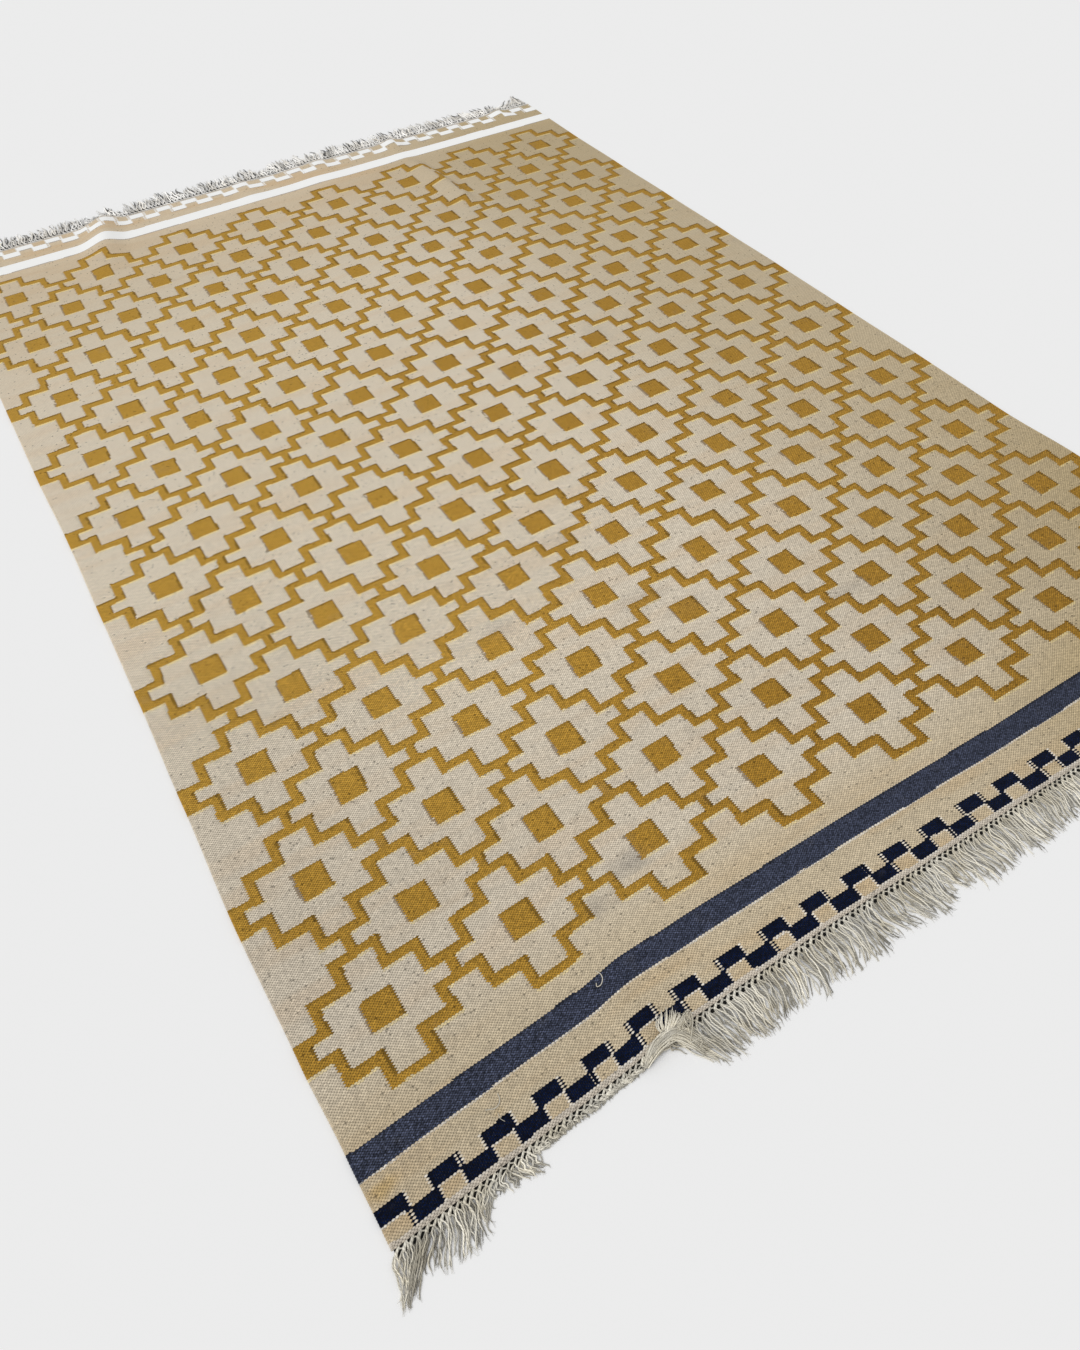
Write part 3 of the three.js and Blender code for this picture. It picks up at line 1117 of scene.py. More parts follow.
@dataclass(frozen=True)
class YarnFinish:
    """Undyed plied yarn: two plies twist round each other, with a tone for each strand."""

    name: str
    yarn: Colour = shade(230, 225, 211)
    tinge: Colour = shade(208, 200, 180)
    ply_length: float = 0.0045
    # painted shade: how much darker the furrow between the plies is painted
    furrow_shade: float = 0.45

    def material(self) -> bpy.types.Material:
        """Builds the finish over the place along and round each strand.

        The height over the twist is the size of the sine of half a turn for every turn round
        plus every ply length along, so that two plies show.

        Returns:
            The material.
        """
        g = Graph(self.name)
        run, round_it = g.split(g.attribute("twist", "Vector"))
        turn = (run / self.ply_length + round_it * 2.0) * math.pi
        ply = abs(g.math("SINE", turn))
        place = g.add("TexCoord", "Object", {})
        patch = g.noise(place, 22.0, 2.0, 0.6)
        fibre = g.noise(place, 2600.0, 1.0)
        tone = g.attribute("tone", "Fac")
        colour = g.blend(patch.ramp(0.35, 0.7), self.yarn, self.tinge)
        # painted shade: darker in the furrow between the plies; the tone also carries painted
        # shade on lower strands and under the knots
        light = tone * (ply * self.furrow_shade + 1.0 - self.furrow_shade) * (fibre * 0.3 + 0.85)
        inputs = {
            "Base Color": g.scaled(colour, light),
            "Roughness": fibre * 0.2 + 0.72,
            "Normal": g.bump(ply + fibre * 0.3, 0.35 * MM, 0.8),
            "Specular IOR Level": 0.2,
            "Sheen Weight": 0.15,
        }
        g.feed(g.shader, inputs)
        return g.material


# ---- the rug's pieces ----


@dataclass
class Cloth:
    """The woven sheet, cut to its flat size, and the bound edge down each side."""

    lay: Lay
    finish: bpy.types.Material
    half_width: float = HALF_WIDTH * MM
    near_end: float = End.NEAR.edge
    far_end: float = End.FAR.edge
    thickness: float = 4 * MM
    edge_round: float = 3 * MM
    edge_thickness: float = 1.6 * MM
    columns: int = 156
    rows: int = 222
    rib_step: float = 4 * MM
    rib_stations: int = 4
    rib_inset: float = 1.6 * MM
    rib_half_wide: float = 2.1 * MM
    rib_half_high: float = 2.05 * MM
    rib_swell: float = 0.28 * MM
    rib_sides: int = 6
    rib_reading: float = 1.25 * MM

    def sheet(self) -> bpy.types.Object:
        """The woven sheet: thickness falls to a thin edge along a quarter circle at its rim.

        Returns:
            The piece, which stands for the CAD cloth.
        """
        inner = self.half_width - self.edge_round
        rim = self.edge_round * np.array([0.0, 0.35, 1.0])
        middle = np.linspace(-inner, inner, self.columns)
        left_rim = rim[:-1] - self.half_width
        across = np.concatenate([left_rim, middle, -left_rim[::-1]])
        along = np.linspace(self.near_end, self.far_end, self.rows)
        u, v = np.meshgrid(across, along)
        from_side = self.half_width - np.abs(u)
        from_end = np.minimum(v - self.near_end, self.far_end - v)
        inwards = np.clip(np.minimum(from_side, from_end) / self.edge_round, 0.0, 1.0)
        full = np.sqrt(1.0 - (1.0 - inwards) ** 2)
        thick = self.edge_thickness + (self.thickness - self.edge_thickness) * full
        low = (self.thickness - thick) / 2.0 * (inwards < 1.0)
        points, faces = closed_sheet(self.lay.at(u, v, low), self.lay.at(u, v, low + thick))
        flat = np.stack([u, v, np.zeros_like(u)], -1).reshape(-1, 3)
        surface = Surface(points, faces, {"flat": np.concatenate([flat, flat])})
        piece = surface.piece("woven_sheet", self.finish)
        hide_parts("cloth")
        return piece

    def selvedge(self, name: str, side: float) -> bpy.types.Object:
        """The bound edge down one side: a cord whose half-width swells once for every weft turn.

        Args:
            name: The piece's name.
            side: -1 for the left and +1 for the right.

        Returns:
            The piece.
        """
        count = round((self.far_end - self.near_end) / self.rib_step) * self.rib_stations
        along = np.linspace(self.near_end, self.far_end, count + 1)
        across = np.full_like(along, side * (self.half_width - self.rib_inset))
        line = self.lay.at(across, along, np.full_like(along, self.rib_half_high + self.rib_swell))
        swell = self.rib_swell * np.cos(2.0 * math.pi * along / self.rib_step)
        made = tubes(
            line[None],
            (self.rib_half_wide + swell)[None],
            (self.rib_half_high + swell)[None],
            self.rib_sides,
            np.ones(1),
        )
        at = np.repeat(along, self.rib_sides)
        edge = np.full_like(at, side * (self.half_width - self.rib_reading))
        flat = np.stack([edge, at, np.zeros_like(at)], -1)
        piece = Surface(made.points, made.faces, {"flat": flat}).piece(name, self.finish)
        return piece


@dataclass(frozen=True)
class StrandRow:
    """Strands at one place across, in millimetres: how far they reach and lean, and their curl."""

    across: float
    reach: float
    lean: float = 0.0
    curl: float = 0.0


@dataclass(frozen=True)
class Wander:
    """How uneven strands are, in millimetres.

    A slow random wander has a height and a step along the fringe, and every strand differs
    from it by up to its own share.
    """

    height: float
    step: float
    own: float


@dataclass
class Fringe:
    """The knotted warp ends along one end: cords, knots, strands and their frayed tips.

    Marks are in millimetres: distance past the end, distance aside and half-width. strays is
    the share of knots with a stray end, and wild_share that of strands with a lean of their
    own. settle is how far out a ripple's height lasts. The shadow strip is painted shadow: a
    thin nearly black sheet under the knots, where there is only shade.
    """

    lay: Lay
    finish: bpy.types.Material
    end: End
    rows: tuple[StrandRow, ...]
    seed: int
    tone: float = 1.0
    knot_tone: float = 1.14
    # painted light and shade: strands on top are painted lighter, strands underneath darker
    lit_upper_tone: float = 1.22
    shaded_under_tone: float = 0.6
    knots: int = 172
    strands_to_knot: int = 6
    strand_stations: int = 11
    strand_sides: int = 5
    half_width: float = HALF_WIDTH * MM
    gap: float = 0.3 * MM
    cord_marks: tuple[Row, ...] = (
        (-0.6, 2.9, 1.5), (1.0, 1.9, 1.75), (2.4, 0.2, 1.8), (3.8, -1.6, 1.8),
        (5.2, -2.9, 2.2), (6.6, -3.5, 2.0), (8.0, -3.7, 1.0),
    )
    crossing_marks: tuple[Row, ...] = (
        (0.6, 0.9, 0.75), (1.4, 2.1, 0.9), (2.5, 3.9, 0.9), (3.6, 5.6, 0.85), (4.6, 6.8, 0.8),
    )
    stray_marks: tuple[Row, ...] = (
        (1.8, 4.4, 0.9), (3.6, 4.3, 1.2), (5.8, 3.4, 1.2), (8.2, 2.6, 1.1), (11.5, 2.0, 0.9),
    )
    strays: float = 0.36
    lean_wander: Wander = Wander(4.0, 26.0, 3.5)
    curl_wander: Wander = Wander(4.0, 40.0, 1.2)
    bend_wander: Wander = Wander(2.6, 30.0, 0.8)
    wild_share: float = 0.07
    wild_lean: float = 12 * MM
    strand_start: float = 6.0 * MM
    under_start: float = 8.5 * MM
    knot_aside: float = -3.7 * MM
    strand_half: float = 0.96 * MM
    tip_half: float = 0.55 * MM
    fan: float = 1.75 * MM
    fray_half: float = 0.28 * MM
    frays_to_strand: int = 2
    long_strand: float = 40 * MM
    ragged: float = 0.2
    settle: float = 55 * MM
    # painted shadow: a thin nearly black strip under the knots, where there is only shade
    shadow_strip_depth: float = 8.5 * MM
    shadow_strip_height: float = 0.6 * MM
    shadow_strip_tone: float = 0.015
    clump_step: float = 21 * MM
    clump_pull: float = 0.42

    def _table(self, key: str, across: np.ndarray) -> np.ndarray:
        """One value of the strand rows, in metres, at places across."""
        places = [row.across * MM for row in self.rows]
        return np.interp(across, places, [getattr(row, key) * MM for row in self.rows])

    def _points(self, across: np.ndarray, past: np.ndarray, over: np.ndarray) -> np.ndarray:
        """Points past the cloth's end.

        x and y are those of the cloth's edge at the same place across, with y moved outwards
        by the distance past it. z is the height over what is left of the ripple there.

        Args:
            across: Flat places across.
            past: Distances past the end.
            over: Heights over the floor or the ripple.

        Returns:
            The points.
        """
        edge = np.full_like(across, self.end.edge)
        root = np.clip(across, -self.half_width, self.half_width)
        x, y = self.lay.plan(root, edge)
        left = np.clip(1.0 - past / self.settle, 0.0, 1.0) ** 2
        height = self.lay.lift(root, edge) * left + over
        return np.stack([x + across - root, y + self.end.outwards * (self.gap + past), height], -1)

    def _knot_places(self) -> np.ndarray:
        """The knots' even places across."""
        pitch = 2.0 * self.half_width / self.knots
        return -self.half_width + pitch * (np.arange(self.knots) + 0.5)

    def _run(
        self,
        rng: np.random.Generator,
        knot: np.ndarray,
        marks: tuple[Row, ...],
        over: float,
        sides: int,
    ) -> Surface:
        """One short cord for each knot, all through the same marks with a little unevenness.

        Args:
            rng: The seeded source of the unevenness.
            knot: The places across.
            marks: Distance past the end, distance aside and half-width, in millimetres.
            over: How far it stands over what lies under it.
            sides: How many flats go round it.

        Returns:
            The surface.
        """
        past, aside, half = (np.array(marks).T * MM)[:, None, :]
        jitter = rng.uniform(-1.0, 1.0, (3, len(knot), 1))
        across = knot[:, None] + aside + jitter[1] * 0.7 * MM
        half = half * (1.0 + 0.2 * jitter[2])
        line = self._points(across, past * (1.0 + 0.06 * jitter[0]), half * 0.86 + over)
        tone = self.tone * self.knot_tone * rng.uniform(0.68, 1.1, len(knot))
        return tubes(line, half, half * 0.85, sides, tone)

    def _knotting(self, rng: np.random.Generator) -> Surface:
        """The knotted band: slanting cords with their knots, crossing cords, and stray ends.

        The cords slant one way out of the cloth and swell into a knot. A crossing cord goes
        the other way from each to the next one's knot, which leaves a slit above it and a
        hole below it. Stray ends fall over some of the holes.

        Args:
            rng: The seeded source of the unevenness.

        Returns:
            The surface.
        """
        knot = self._knot_places()
        cords = self._run(rng, knot, self.cord_marks, 0.1 * MM, 6)
        crossings = self._run(rng, knot[:-1], self.crossing_marks, 0.5 * MM, 5)
        stray = knot[rng.uniform(0.0, 1.0, self.knots) < self.strays]
        return Surface.join(cords, crossings, self._run(rng, stray, self.stray_marks, 1.0 * MM, 5))

    def _clumped(self, rng: np.random.Generator, knot: np.ndarray) -> np.ndarray:
        """How far sideways each strand's tip is drawn towards the middle of its own clump.

        Args:
            rng: The seeded source of the clumps' places and strengths.
            knot: The strands' places across, as a column.

        Returns:
            The distances, as a column.
        """
        count = int(2.0 * self.half_width / self.clump_step)
        middles = (np.arange(count) + rng.uniform(0.1, 0.9, count)) * self.clump_step
        middles = middles - self.half_width
        nearest = np.argmin(np.abs(knot - middles), axis=1)[:, None]
        strength = self.clump_pull * rng.uniform(0.3, 1.3, count)
        return (middles[nearest] - knot) * strength[nearest]

    def _strand_lines(self, rng: np.random.Generator) -> tuple[np.ndarray, np.ndarray]:
        """The lines of all the strands.

        Every other strand lies under the rest, a half pitch aside, and starts farther out.
        Outwards a strand runs from its start to its reach. Sideways it fans out, leans more
        and more along its length, draws towards its clump, and bends and wanders with its
        neighbours. Upwards it rises over the strands below in a low arch and comes down to
        the floor at its tip.

        Args:
            rng: The seeded source of every unevenness.

        Returns:
            Points by strand and station, and a brightness for each strand, with painted shade on
            the strands underneath and painted light on those on top.
        """
        count = self.knots * self.strands_to_knot
        pitch = 2.0 * self.half_width / self.knots
        knot = np.repeat(self._knot_places(), self.strands_to_knot)[:, None]
        place = np.tile(np.arange(self.strands_to_knot), self.knots)[:, None]
        under = place % 2
        t = np.linspace(0.0, 1.0, self.strand_stations)[None]

        def even(low: float, high: float) -> np.ndarray:
            """A random number for each strand."""
            return rng.uniform(low, high, (count, 1))

        def uneven(wander: Wander) -> np.ndarray:
            """A slow wander and each strand's own share, in metres."""
            slow = wander.height * slow_noise(rng, knot, wander.step * MM)
            return (slow + even(-wander.own, wander.own)) * MM

        reach = self._table("reach", knot) * (1.0 + 0.12 * slow_noise(rng, knot, 18 * MM))
        reach = reach * even(1.0 - self.ragged, 1.06)
        lean = self._table("lean", knot) + uneven(self.lean_wander)
        lean = lean + (even(0.0, 1.0) < self.wild_share) * even(-self.wild_lean, self.wild_lean)
        curl = self._table("curl", knot) + uneven(self.curl_wander)
        bend = uneven(self.bend_wander)
        wave, turns, phase = even(0.5, 2.4) * MM, even(0.8, 2.3), even(0.0, 1.0)
        clump = 0.6 + 0.4 * slow_noise(rng, knot, 24 * MM)
        layer = np.where(under, even(0.0, 0.8), even(1.2, 3.4)) * MM

        start = np.where(under, self.under_start, self.strand_start)
        past = start + (reach + self.strand_start - start) * t
        spread = self.fan * ease(t / 0.16) * (1.0 - 0.5 * clump * t**2)
        sideways = (
            (place - (self.strands_to_knot - 1) / 2.0) * (0.5 * MM + spread)
            + self.knot_aside
            + under * pitch / 2.0
            + lean * t**1.3
            + self._clumped(rng, knot) * t**1.5
            + curl * np.sin(math.pi * t)
            + bend * np.sin(2.0 * math.pi * t)
            + wave * np.sin(2.0 * math.pi * (turns * t + phase)) * ease(t / 0.25)
        )
        arch = layer * np.sin(math.pi * (0.12 + 0.88 * t)) ** 0.8
        over = self.strand_half + arch * (1.0 - 0.6 * t) + 0.9 * MM * (1.0 - t)
        # painted shade: strands underneath take the darker tone, those on top the lighter
        tone = np.where(under, self.shaded_under_tone, self.lit_upper_tone)
        tone = tone + 0.14 * slow_noise(rng, knot, 12 * MM)
        tone = self.tone * tone * rng.triangular(0.42, 0.98, 1.34, (count, 1))
        return self._points(knot + sideways, past, over), tone[:, 0]

    def _frays(self, rng: np.random.Generator, lines: np.ndarray, tone: np.ndarray) -> Surface:
        """Fine fibres that go on past each strand's tip, spreading as they go.

        Args:
            rng: The seeded source of their lengths and spread.
            lines: The strands' lines.
            tone: The strands' brightness.

        Returns:
            The surface.
        """
        each = self.frays_to_strand
        tips = np.repeat(lines[:, -2:], each, axis=0)
        count = len(tips)
        ahead = tips[:, 1] - tips[:, 0]
        ahead[:, 2] = 0.0
        ahead /= np.linalg.norm(ahead, axis=1, keepdims=True)
        reach = np.abs(lines[:, -1, 1] - lines[:, 0, 1])
        share = np.clip(reach / self.long_strand, 0.2, 1.0).repeat(each)
        length = (rng.uniform(3.0, 9.0, count) * MM * share)[:, None, None]
        aside = rng.uniform(-3.4, 3.4, count)[:, None, None] * MM
        t = np.linspace(0.0, 1.0, 4)[None, :, None]
        line = tips[:, :1] + ahead[:, None] * length * (t + 0.4)
        line = line + level_square(ahead)[:, None] * aside * t**1.5
        line[..., 2] = np.maximum(line[..., 2], self.fray_half * 1.2)
        half = np.broadcast_to(self.fray_half * (1.0 - 0.6 * t[..., 0]), line.shape[:2])
        return tubes(line, half, half, 3, np.repeat(tone, each) * 1.05)

    def _painted_shadow_strip(self) -> Surface:
        """Painted shadow under the knots: a thin dark strip along the cloth's end, where there is
        only shade.

        Returns:
            The surface.
        """
        across = np.linspace(-self.half_width + 2 * MM, self.half_width - 2 * MM, self.knots * 2)
        past = np.array([-0.5 * MM, 4 * MM, self.shadow_strip_depth])
        if self.end is End.NEAR:
            past = past[::-1]
        u, p = np.meshgrid(across, past)
        low = self._points(u, p, np.full_like(u, 0.1 * MM))
        high = self._points(u, p, np.full_like(u, self.shadow_strip_height))
        points, faces = closed_sheet(low, high)
        corners = sum(f.size for f in faces)
        # painted shadow: the strip's tone is nearly black
        tone = np.full(len(points), self.shadow_strip_tone)
        return Surface(points, faces, {"tone": tone}, np.zeros((corners, 2)))

    def piece(self) -> bpy.types.Object:
        """Builds the whole fringe as one joined mesh.

        Returns:
            The piece, which stands for the end's CAD comb.
        """
        rng = np.random.default_rng(self.seed)
        lines, tone = self._strand_lines(rng)
        t = np.linspace(0.0, 1.0, self.strand_stations)
        half = self.strand_half + (self.tip_half - self.strand_half) * ease((t - 0.7) / 0.3)
        half = half[None] * rng.uniform(0.85, 1.15, len(lines))[:, None]
        knotting = self._knotting(rng)
        strands = tubes(lines, half, half, self.strand_sides, tone)
        whole = Surface.join(knotting, strands, self._frays(rng, lines, tone), self._painted_shadow_strip())
        made = whole.piece(self.end.node + "_yarn", self.finish)
        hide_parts(self.end.node)
        return made


@dataclass
class LooseThreads:
    """Thread ends that have worked out of the weave, and the frayed tuft at the near ripple.

    Marks are in millimetres: flat places across and along, and heights over the cloth's top.
    A lock is given by its root's mark, its tip's mark and how far its middle bows aside.
    """

    lay: Lay
    finish: bpy.types.Material
    cloth_top: float = 4 * MM
    hook_half: float = 0.6 * MM
    thread_half: float = 0.6 * MM
    fibre_half: float = 0.34 * MM
    tuft_half: float = 0.62 * MM
    strand_half: float = 0.8 * MM
    fibres_to_lock: int = 9
    swept: int = 84
    matted: int = 90
    seed: int = 31
    hook: tuple[Row, ...] = (
        (-482, -1086, 0.9), (-479, -1094, 2.2), (-481, -1101, 3.0),
        (-487, -1105, 2.0), (-492, -1103, 0.9), (-490, -1099, 0.8),
    )
    loop: tuple[Row, ...] = (
        (-665, -1136, 0.8), (-666, -1142, 1.6), (-670, -1147, 1.9),
        (-677, -1148, 1.6), (-687, -1143, 0.8),
    )
    wisp: tuple[Row, ...] = ((-676, -1154, 0.7), (-677, -1161, 1.4), (-674, -1167, 0.7))
    strand: tuple[Row, ...] = (
        (-414, -1199, 6.0), (-417, -1208, 7.0), (-425, -1217, 7.0), (-436, -1228, 6.0),
    )
    small_hook: tuple[Row, ...] = (
        (-436, -1229, 6.0), (-428, -1230, 6.5), (-423, -1231, 6.0),
        (-424, -1236, 5.0), (-429, -1239, 4.0),
    )
    locks: tuple[Row, ...] = (
        (-459, -1199, 3.0, -454, -1185, 8.0, -3.0),
        (-456, -1198, 3.5, -450, -1183, 8.0, -2.0),
        (-454, -1197, 4.0, -445.5, -1180, 9.0, -2.5),
        (-453, -1200, 4.0, -438.5, -1182, 9.5, 1.0),
        (-451, -1202, 4.0, -433, -1185, 9.5, 2.0),
        (-447, -1202, 4.0, -433.5, -1190, 9.0, 2.5),
        (-443, -1201, 4.0, -427.5, -1194.5, 8.0, 2.0),
        (-438, -1206, 4.0, -421, -1197, 7.0, 2.0),
    )
    mat_corners: tuple[Row, ...] = ((-440, -1204), (-431, -1192), (-427, -1219), (-415, -1200))
    sweep: tuple[Row, ...] = (
        (-492, -1213, 0.0), (-482, -1209.5, 2.0), (-471, -1207, 3.5), (-458, -1207, 4.0),
        (-446, -1210, 4.0), (-437, -1218, 3.5), (-431, -1229, 2.0), (-424, -1241, 0.0),
    )

    def _thread(self, marks: tuple[Row, ...], half: float, tone: float) -> Surface:
        """A thread through given marks.

        Args:
            marks: The marks, in millimetres.
            half: Its half-width.
            tone: Its brightness.

        Returns:
            The surface.
        """
        line = smooth_line(np.array(marks, float) * MM, 24)
        points = self.lay.at(line[:, 0], line[:, 1], self.cloth_top + line[:, 2])
        size = np.full((1, len(points)), half)
        return tubes(points[None], size, size, 6, np.array([tone]))

    def _tuft(self, rng: np.random.Generator) -> Surface:
        """Locks of loose yarn, each from its root to its tip, opening out at the end.

        A lock's fibres share its root and tip but for a small spread, more at the tip than at
        the root. A fibre's middle is bowed aside, and raised by a sine hump.

        Args:
            rng: The seeded source of the unevenness.

        Returns:
            The surface.
        """
        marks = np.repeat(np.array(self.locks, float) * MM, self.fibres_to_lock, axis=0)
        count = len(marks)
        roots = marks[:, :3] + rng.normal(0.0, 0.8 * MM, (count, 3))
        tips = marks[:, 3:6] + rng.normal(0.0, 1.3 * MM, (count, 3))
        tips = roots + (tips - roots) * rng.uniform(0.7, 1.1, (count, 1))
        t = np.linspace(0.0, 1.0, 9)[None, :, None]
        line = roots[:, None] * (1.0 - t) + tips[:, None] * t
        hump = np.sin(math.pi * t[..., 0])
        bow = marks[:, 6:] + rng.uniform(-1.2, 1.2, (count, 1)) * MM
        lift = rng.uniform(0.0, 2.5, (count, 1)) * MM
        over = np.maximum(line[..., 2] + lift * hump, self.tuft_half)
        points = self.lay.at(line[..., 0] + bow * hump, line[..., 1], self.cloth_top + over)
        half = self.tuft_half * (1.1 - 0.75 * t[..., 0] ** 2) * np.ones((count, 1))
        return tubes(points, half, half, 5, rng.uniform(1.0, 1.7, count))

    def _mat(self, rng: np.random.Generator) -> Surface:
        """Felted yarn beside the tuft: short curved fibres lying all ways inside four corners.

        A fibre's middle is shared out between the corners both ways, and it is an arc whose
        sideways place is its curve times 1 less the squared share of its half-length.

        Args:
            rng: The seeded source of the unevenness.

        Returns:
            The surface.
        """
        corners = np.array(self.mat_corners, float) * MM
        a, b = rng.uniform(0.0, 1.0, (2, self.matted, 1))
        near_side = corners[0] * (1.0 - a) + corners[2] * a
        far_side = corners[1] * (1.0 - a) + corners[3] * a
        middle = near_side * (1.0 - b) + far_side * b
        turn = rng.normal(1.1, 0.8, (self.matted, 1))
        length = rng.uniform(3.0, 8.0, (self.matted, 1)) * MM
        curve = rng.uniform(-3.0, 3.0, (self.matted, 1)) * MM
        t = np.linspace(-1.0, 1.0, 7)[None]
        run, aside = length * t, curve * (1.0 - t**2)
        across = middle[:, :1] + run * np.cos(turn) - aside * np.sin(turn)
        along = middle[:, 1:] + run * np.sin(turn) + aside * np.cos(turn)
        over = self.cloth_top + (rng.uniform(0.6, 6.5, (self.matted, 1)) - t**2 * 0.8) * MM
        half = self.fibre_half * rng.uniform(0.8, 1.6, (self.matted, 1)) * (1.0 - 0.4 * t**2)
        points = self.lay.at(across, along, over)
        return tubes(points, half, half, 4, rng.uniform(1.0, 1.75, self.matted))

    def _swept(self, rng: np.random.Generator) -> Surface:
        """A bundle of strands that sweeps along the cloth's end before it turns outwards.

        Each strand keeps its own share of the bundle's width and thickness, wanders in two
        slow waves, and slips along it so that the ends are ragged.

        Args:
            rng: The seeded source of the unevenness.

        Returns:
            The surface.
        """
        marks = smooth_line(np.array(self.sweep, float) * MM, 22)
        ahead = np.gradient(marks, axis=0)
        ahead /= np.linalg.norm(ahead, axis=1, keepdims=True)
        t = np.linspace(0.0, 1.0, len(marks))[None, :, None]
        width = 3.0 + 5.0 * np.sin(math.pi * np.clip(t * 0.9, 0.0, 1.0)) ** 0.8 + 4.0 * t**3
        share = rng.uniform(-1.0, 1.0, (self.swept, 1, 1))
        phase = rng.uniform(0.0, 2.0 * math.pi, (2, self.swept, 1, 1))
        wave = 1.4 * np.sin(5.0 * t + phase[0]) + 0.8 * np.sin(11.0 * t + phase[1])
        line = marks[None] + level_square(ahead)[None] * (share * width + wave) * MM
        line = line + ahead[None] * rng.uniform(-9.0, 9.0, (self.swept, 1, 1)) * MM
        layer = rng.uniform(-3.0, 2.0, (self.swept, 1)) + 0.6 * np.cos(7.0 * t + phase[0])[..., 0]
        over = line[..., 2] + (layer - 1.5 * np.abs(share[..., 0])) * MM
        over = np.maximum(over + self.cloth_top, self.strand_half)
        points = self.lay.at(line[..., 0], line[..., 1], over)
        half = self.strand_half * rng.uniform(0.55, 1.1, (self.swept, 1))
        half = half * (1.0 - 0.45 * ease((t[..., 0] - 0.75) / 0.25))
        return tubes(points, half, half, 5, rng.triangular(0.55, 1.1, 1.6, self.swept))

    def piece(self) -> bpy.types.Object:
        """Builds all the threads as one joined mesh.

        Returns:
            The piece.
        """
        rng = np.random.default_rng(self.seed)
        threads = [
            self._thread(marks, half, tone)
            for marks, half, tone in (
                (self.hook, self.hook_half, 1.12),
                (self.loop, self.thread_half, 0.92),
                (self.wisp, self.fibre_half, 0.95),
                (self.strand, self.hook_half, 1.1),
                (self.small_hook, self.thread_half, 1.1),
            )
        ]
        whole = Surface.join(*threads, self._tuft(rng), self._mat(rng), self._swept(rng))
        made = whole.piece("loose_threads", self.finish)
        return made


# ---- the studio ----


def direction(bearing: float, height: float) -> Vector:
    """Points to a bearing, from the y axis towards x, and a height over level, in degrees."""
    turn, rise = math.radians(bearing), math.radians(height)
    level = math.cos(rise)
    return Vector((math.sin(turn) * level, math.cos(turn) * level, math.sin(rise)))


@dataclass(frozen=True)
class Studio:
    """A plain pale floor, even soft light and the camera. Angles are in degrees."""

    floor_half: float = 9.0
    floor_colour: Colour = shade(243, 243, 243)
    sky_strength: float = 0.62
    sun_strength: float = 1.25
    sun_angle: float = 38.0
    sun_bearing: float = 262.0
    sun_height: float = 52.0
    camera_place: Row = (-0.7791, -1.4682, 1.2370)
    camera_bearing: float = 30.54
    camera_down: float = 51.70
    camera_roll: float = -1.778
    lens: float = 26.20
    sensor: float = 36.0
    clip: Row = (0.05, 60.0)

    def floor(self) -> None:
        """A wide flat floor just under the rug, with a faint mottle in its gloss."""
        half = self.floor_half
        points = np.array([[-half, -half, 0], [half, -half, 0], [half, half, 0], [-half, half, 0]])
        mesh = bpy.data.meshes.new("floor")
        mesh.from_pydata(points.tolist(), [], [[0, 1, 2, 3]])
        g = Graph("pale_floor")
        place = g.add("TexCoord", "Object", {})
        inputs = {
            "Base Color": (*self.floor_colour, 1.0),
            "Roughness": g.noise(place, 3.0) * 0.1 + 0.85,
            "Specular IOR Level": 0.0,
        }
        g.feed(g.shader, inputs)
        mesh.materials.append(g.material)
        made = bpy.data.objects.new("floor", mesh)
        bpy.context.scene.collection.objects.link(made)

    def light(self) -> None:
        """An even white sky and one very soft light from the left."""
        scene = bpy.context.scene
        scene.view_settings.view_transform = "Standard"
        scene.world = bpy.data.worlds.new("sky")
        scene.world.use_nodes = True
        sky = scene.world.node_tree.nodes["Background"]
        sky.inputs["Color"].default_value = (1.0, 1.0, 1.0, 1.0)
        sky.inputs["Strength"].default_value = self.sky_strength
        lamp = bpy.data.lights.new("soft_light", "SUN")
        lamp.energy = self.sun_strength
        lamp.angle = math.radians(self.sun_angle)
        made = bpy.data.objects.new("soft_light", lamp)
        towards = direction(self.sun_bearing, self.sun_height)
        made.rotation_euler = towards.to_track_quat("Z", "Y").to_euler()
        scene.collection.objects.link(made)

    def camera(self) -> None:
        """The camera, over the rug's near left part and looking down along it to the right."""
        ahead = direction(self.camera_bearing, -self.camera_down)
        roll = math.radians(self.camera_roll)
        right = ahead.cross(Vector((0.0, 0.0, 1.0))).normalized()
        upwards = right.cross(ahead)
        side = math.cos(roll) * right + math.sin(roll) * upwards
        top = math.cos(roll) * upwards - math.sin(roll) * right
        turned = Matrix((side, top, -ahead)).transposed().to_4x4()
        turned.translation = Vector(self.camera_place)
        data = bpy.data.cameras.new("camera")
        data.lens, data.sensor_width = self.lens, self.sensor
        data.clip_start, data.clip_end = self.clip
        made = bpy.data.objects.new("camera", data)
        made.matrix_world = turned
        bpy.context.scene.collection.objects.link(made)
        bpy.context.scene.camera = made


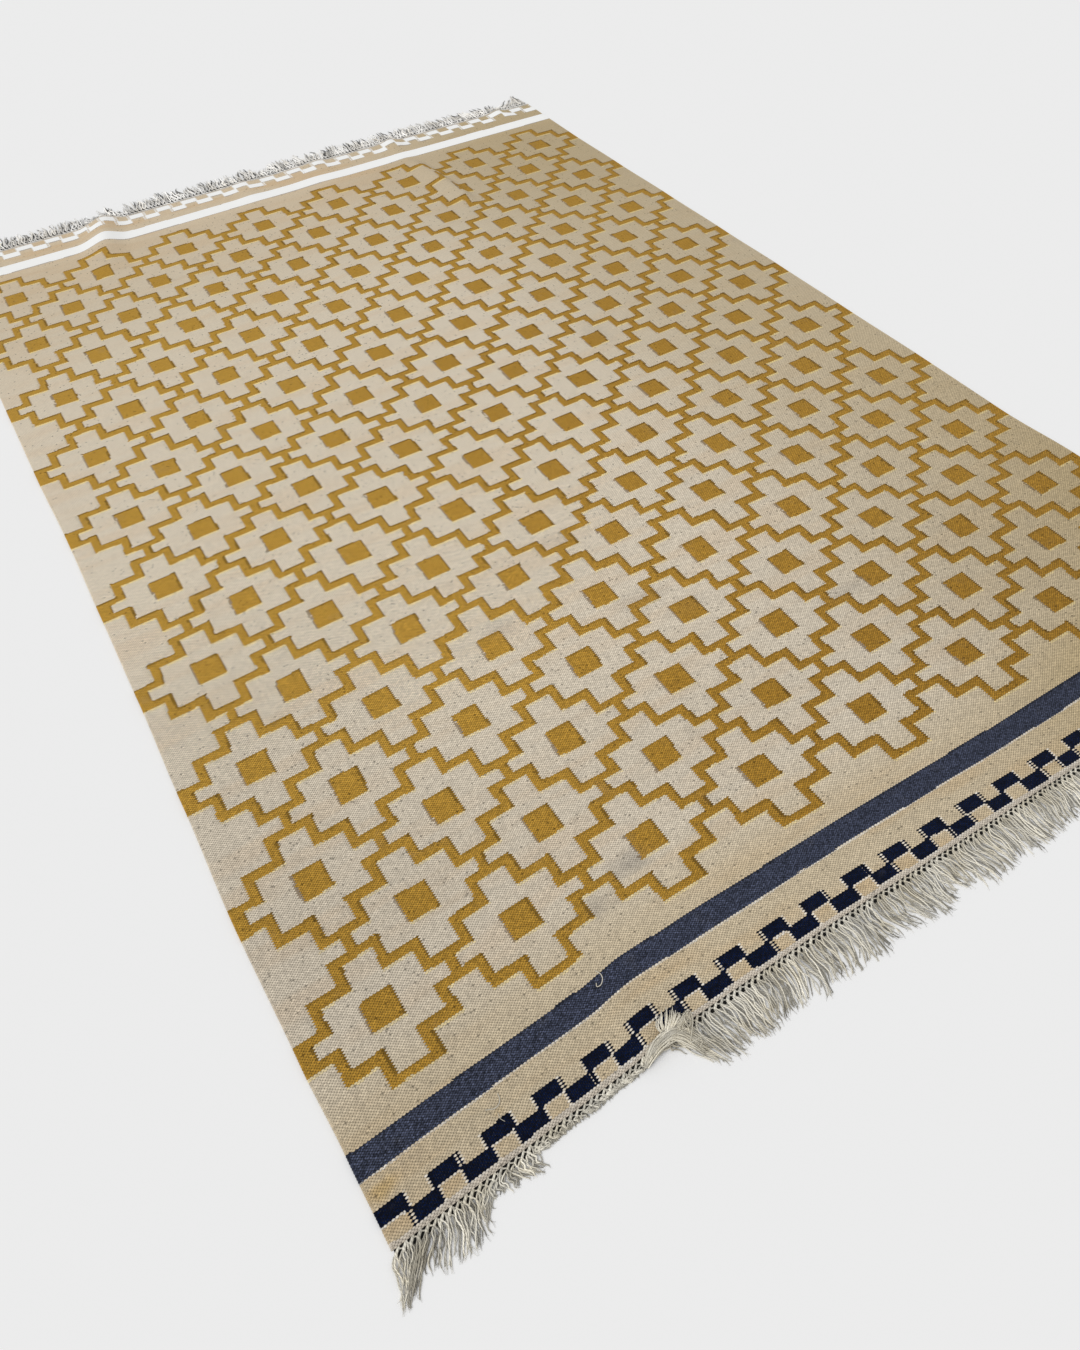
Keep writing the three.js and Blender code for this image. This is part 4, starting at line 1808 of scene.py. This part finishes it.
NEAR_ROWS = tuple(
    StrandRow(*row)
    for row in (
        (-847, 52, -5, -2), (-838, 52, -11, -1), (-825, 50, -21), (-812, 44, -28, 1),
        (-804, 34, -20, 1), (-796, 40, -17, 2), (-780, 49, -16, 3), (-760, 45, -14, 3),
        (-738, 40, -13, 2), (-724, 26, -9), (-710, 14, -4), (-698, 19, -2), (-686, 21, 4),
        (-676, 26, 7), (-667, 24, 5), (-658, 9, 2), (-620, 7, 2), (-585, 9, 3), (-550, 6, 2),
        (-500, 7, 3), (-470, 4, 3), (-450, 20, 14), (-440, 46, 22), (-430, 60, 20),
        (-415, 62, 17), (-395, 60, 12), (-375, 56, 8), (-340, 55, 6), (-300, 56, -9, 6),
        (-260, 57, -1, 5), (-220, 58, 3), (-180, 58, -10, 3), (-140, 57, 3), (-100, 57, 12, -3),
        (-60, 56, 8), (-20, 56, 4), (20, 56, 6, 5), (60, 57, 13), (100, 57, 6), (140, 57, 6),
        (180, 57, 2), (220, 57, -2, 5), (300, 57, 2), (847, 56, 3),
    )
)
FAR_ROWS = tuple(
    StrandRow(*row)
    for row in (
        (-847, 57, -4), (-620, 60, 2), (-500, 54, 4), (-464, 36), (-450, 30, -4),
        (-438, 64, -2), (-420, 68, 6), (-402, 44, 4), (-388, 32), (-376, 40), (-366, 70, -6),
        (-345, 60, 4), (-300, 66, 4), (-100, 60, 3), (-22, 64, 4), (-6, 46), (30, 44),
        (44, 68, -4), (150, 68, 4), (450, 62, 3), (680, 54, 4), (712, 56, 16), (730, 46, 18),
        (740, 26, 12), (752, 46, 26), (772, 56, 44), (800, 62, 32), (825, 64, 15), (847, 66, 3),
    )
)


def main() -> None:
    logging.basicConfig(level=logging.INFO, format="%(name)s: %(message)s")
    studio = Studio()
    studio.camera()
    studio.light()
    studio.floor()

    lay = Lay()
    weave = WovenFinish().material()
    cloth = Cloth(lay, weave)
    sheet = cloth.sheet()
    pieces = [cloth.selvedge("selvedge_left", -1.0), cloth.selvedge("selvedge_right", 1.0)]
    yarn = YarnFinish("warp_yarn").material()
    pieces.append(Fringe(lay, yarn, End.NEAR, NEAR_ROWS, 11).piece())
    pale_yarn = YarnFinish("pale_warp_yarn", shade(244, 242, 238), shade(216, 211, 202)).material()
    # the far strands are seen from farther off, so there are fewer and thicker ones
    # the far fringe's lower strands are painted much darker, as shade
    coarse = {"strands_to_knot": 3, "strand_half": 1.6 * MM, "fan": 2.6 * MM, "shaded_under_tone": 0.22}
    far_fringe = Fringe(lay, pale_yarn, End.FAR, FAR_ROWS, 23, 1.14, ragged=0.45, **coarse)
    pieces.append(far_fringe.piece())
    pieces.append(LooseThreads(lay, yarn).piece())
    flat_size = (2.0 * cloth.half_width, cloth.far_end - cloth.near_end)


if __name__ == "__main__":
    main()
